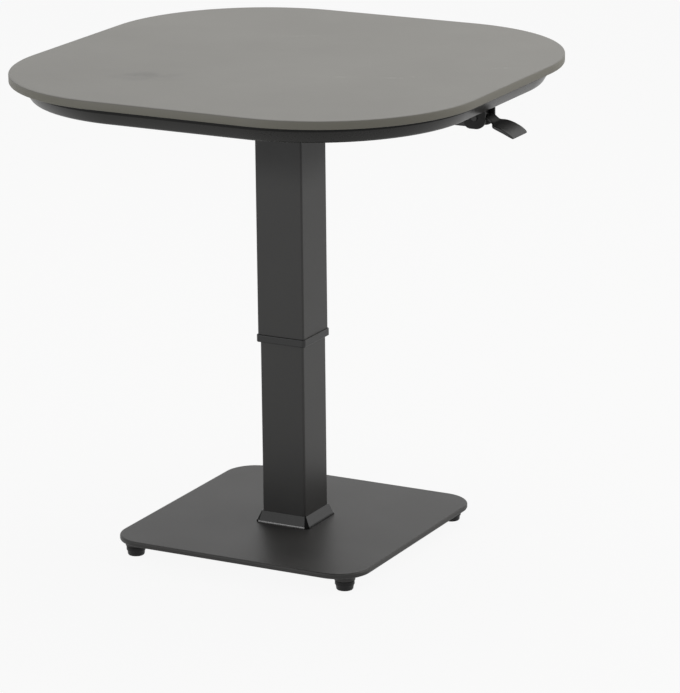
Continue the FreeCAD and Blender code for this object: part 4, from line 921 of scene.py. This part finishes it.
# %% [markdown]
# ## The lever's bracket
# The paddle turns between two ears that hang from a small flange under the board. Three boxes could be
# joined, but one piece has cleaner corners: the flange is a thin box, cuts across it leave two strips,
# and extruding these downwards makes the ears. The lower corners of the ears are beveled round, and all
# edges are broken as on a moulding.

# %% Flange with two ears
EAR_THICKNESS, EAR_BACK, FLANGE, FLANGE_CORNER = 0.004, 0.2825, 0.003, 0.008
EAR_FRONT_ROUND, EAR_BACK_ROUND = 0.014, 0.009
EDGE_BREAK = 0.0005
bracket_low, bracket_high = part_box("lever_bracket")
flange_low = bracket_high.z - FLANGE
ear_inside = bracket_high.y - EAR_THICKNESS
bracket = box_piece("pivot_bracket", (bracket_low.x, bracket_low.y, flange_low), bracket_high)
pick(bracket, "EDGE", lambda edge: upright(edge) and edge.verts[0].co.x < EAR_BACK)
bpy.ops.mesh.bevel(offset=FLANGE_CORNER, segments=6, affect="EDGES")
cut_across([
    ((EAR_BACK, 0, 0), (1, 0, 0)), ((0, ear_inside, 0), (0, 1, 0)), ((0, -ear_inside, 0), (0, 1, 0)),
])


def under_an_ear(face):
    middle = face.calc_center_median()
    return level(face, flange_low) and middle.x > EAR_BACK and abs(middle.y) > ear_inside


def ear_corner(edge, end):
    return level(edge, bracket_low.z) and all(abs(corner.co.x - end) < TINY for corner in edge.verts)


pick(bracket, "FACE", under_an_ear)
bpy.ops.mesh.extrude_region_move(TRANSFORM_OT_translate={"value": (0, 0, bracket_low.z - flange_low)})
for end, radius in ((bracket_high.x, EAR_FRONT_ROUND), (EAR_BACK, EAR_BACK_ROUND)):
    pick(bracket, "EDGE", lambda edge: ear_corner(edge, end))
    bpy.ops.mesh.bevel(offset=radius, segments=10, affect="EDGES")
bpy.ops.object.mode_set(mode="OBJECT")
print("bracket has", len(bracket.data.polygons), "faces before it is bored")

# %% Bores of the bracket
PIN_BORE, SCREW_BORE = 0.00305, 0.0022
ACROSS = (math.pi / 2, 0, 0)
pin_low, pin_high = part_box("lever_pin")
pivot = ((pin_low.x + pin_high.x) / 2, 0, (pin_low.z + pin_high.z) / 2)
combine(bracket, "DIFFERENCE", [rod_piece("pin_bore", pivot, PIN_BORE, THROUGH, 32, ACROSS)])
combine(bracket, "DIFFERENCE", [
    rod_piece("screw_bore", (x, y, bracket_high.z), SCREW_BORE, 4 * FLANGE, 24)
    for x, y, _ in square_places(small_middle, small_reach)
])
soften(bracket, EDGE_BREAK)
finish_piece(bracket, "bracket_black", "top", "lever_bracket")

# %% [markdown]
# ## The paddle
# The hand paddle is moulded in one with its hub, a heel that stops it against the flange, and a forked
# crank that pulls the release link. The blade leaves the hub level, drops, widens at the shoulders and
# arches down to its tip. An outline swept along a curve would keep one width. Here a box with a few
# cross cuts, each moved and scaled, is the cage, and a subdivision surface rounds it. The hub, heel and
# crank are shaped boxes and rods, united with it.

# %% Blade from a cage
# Each cut: its place along the blade, half its width, its upper and its lower height
BLADE_CUTS = [
    (0.3000, 0.0118, 0.6612, 0.6567), (0.3090, 0.0120, 0.6612, 0.6567), (0.3145, 0.0120, 0.6611, 0.6566),
    (0.3197, 0.0118, 0.6580, 0.6535), (0.3240, 0.0114, 0.6542, 0.6497), (0.3266, 0.0222, 0.6526, 0.6482),
    (0.3335, 0.0232, 0.6515, 0.6459), (0.3410, 0.0234, 0.6494, 0.6431), (0.3480, 0.0237, 0.6463, 0.6403),
    (0.3540, 0.0240, 0.6429, 0.6379), (0.3590, 0.0234, 0.6392, 0.6357), (0.3603, 0.0222, 0.6378, 0.6355),
]
START_HALF, START_TOP, START_BOTTOM = 0.012, 0.6612, 0.6567
RIM_CUTS = (-0.0110, 0, 0.0110)
blade = box_piece(
    "paddle", (BLADE_CUTS[0][0], -START_HALF, START_BOTTOM), (BLADE_CUTS[-1][0], START_HALF, START_TOP)
)
cut_across([((along, 0, 0), (1, 0, 0)) for along, *_ in BLADE_CUTS[1:-1]])
cut_across([((0, side, 0), (0, 1, 0)) for side in RIM_CUTS])
start_middle = (START_TOP + START_BOTTOM) / 2
for along, half, top, bottom in BLADE_CUTS:
    pick(blade, "VERT", lambda corner: abs(corner.co.x - along) < TINY)
    growth = (1, half / START_HALF, (top - bottom) / (START_TOP - START_BOTTOM))
    bpy.ops.transform.resize(value=growth, center_override=(along, 0, start_middle))
    bpy.ops.transform.translate(value=(0, 0, (top + bottom) / 2 - start_middle))
apply_modifier(blade, "SUBSURF", levels=3, render_levels=3)
print("blade has", len(blade.data.polygons), "faces")

# %% Hub, heel and forked crank
HUB_RADIUS, HUB_HALF, HEEL, CRANK_REACH = 0.010, 0.0127, 0.008, 0.013
CRANK_HALF, CRANK_EYE, LINK_BORE = 0.006, 0.0045, 0.00205
FORK_HALF, FORK_DROP, FORK_REACH = 0.0023, 0.006, 0.0103
HUB_BREAK = 0.0006
_, lever_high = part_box("paddle_lever")
crank_level = pivot[2] - CRANK_REACH
fork_low = (pivot[0] - FORK_REACH, -FORK_HALF, crank_level - FORK_REACH)
fork_high = (pivot[0] + FORK_REACH, FORK_HALF, pivot[2] - FORK_DROP)
arm_low = (pivot[0] - CRANK_EYE, -CRANK_HALF, crank_level)
arm_high = (pivot[0] + CRANK_EYE, CRANK_HALF, pivot[2])
crank_pivot = (pivot[0], 0, crank_level)
hub = rod_piece("hub", pivot, HUB_RADIUS, 2 * HUB_HALF, 64, ACROSS)
soften(hub, HUB_BREAK)
heel = box_piece("heel", (pivot[0] - HEEL, -START_HALF, pivot[2]), (pivot[0], START_HALF, lever_high.z))
soften(heel, EDGE_BREAK)
arm = box_piece("arm", arm_low, arm_high)
eye = rod_piece("eye", crank_pivot, CRANK_EYE, 2 * CRANK_HALF, 48, ACROSS)
combine(blade, "UNION", [hub, heel, arm, eye])
combine(blade, "DIFFERENCE", [
    box_piece("fork", fork_low, fork_high),
    rod_piece("pin_bore", pivot, PIN_BORE, THROUGH, 32, ACROSS),
    rod_piece("link_bore", crank_pivot, LINK_BORE, THROUGH, 24, ACROSS),
])
finish_piece(blade, "black_nylon", "paddle", "paddle_lever", angle=40)
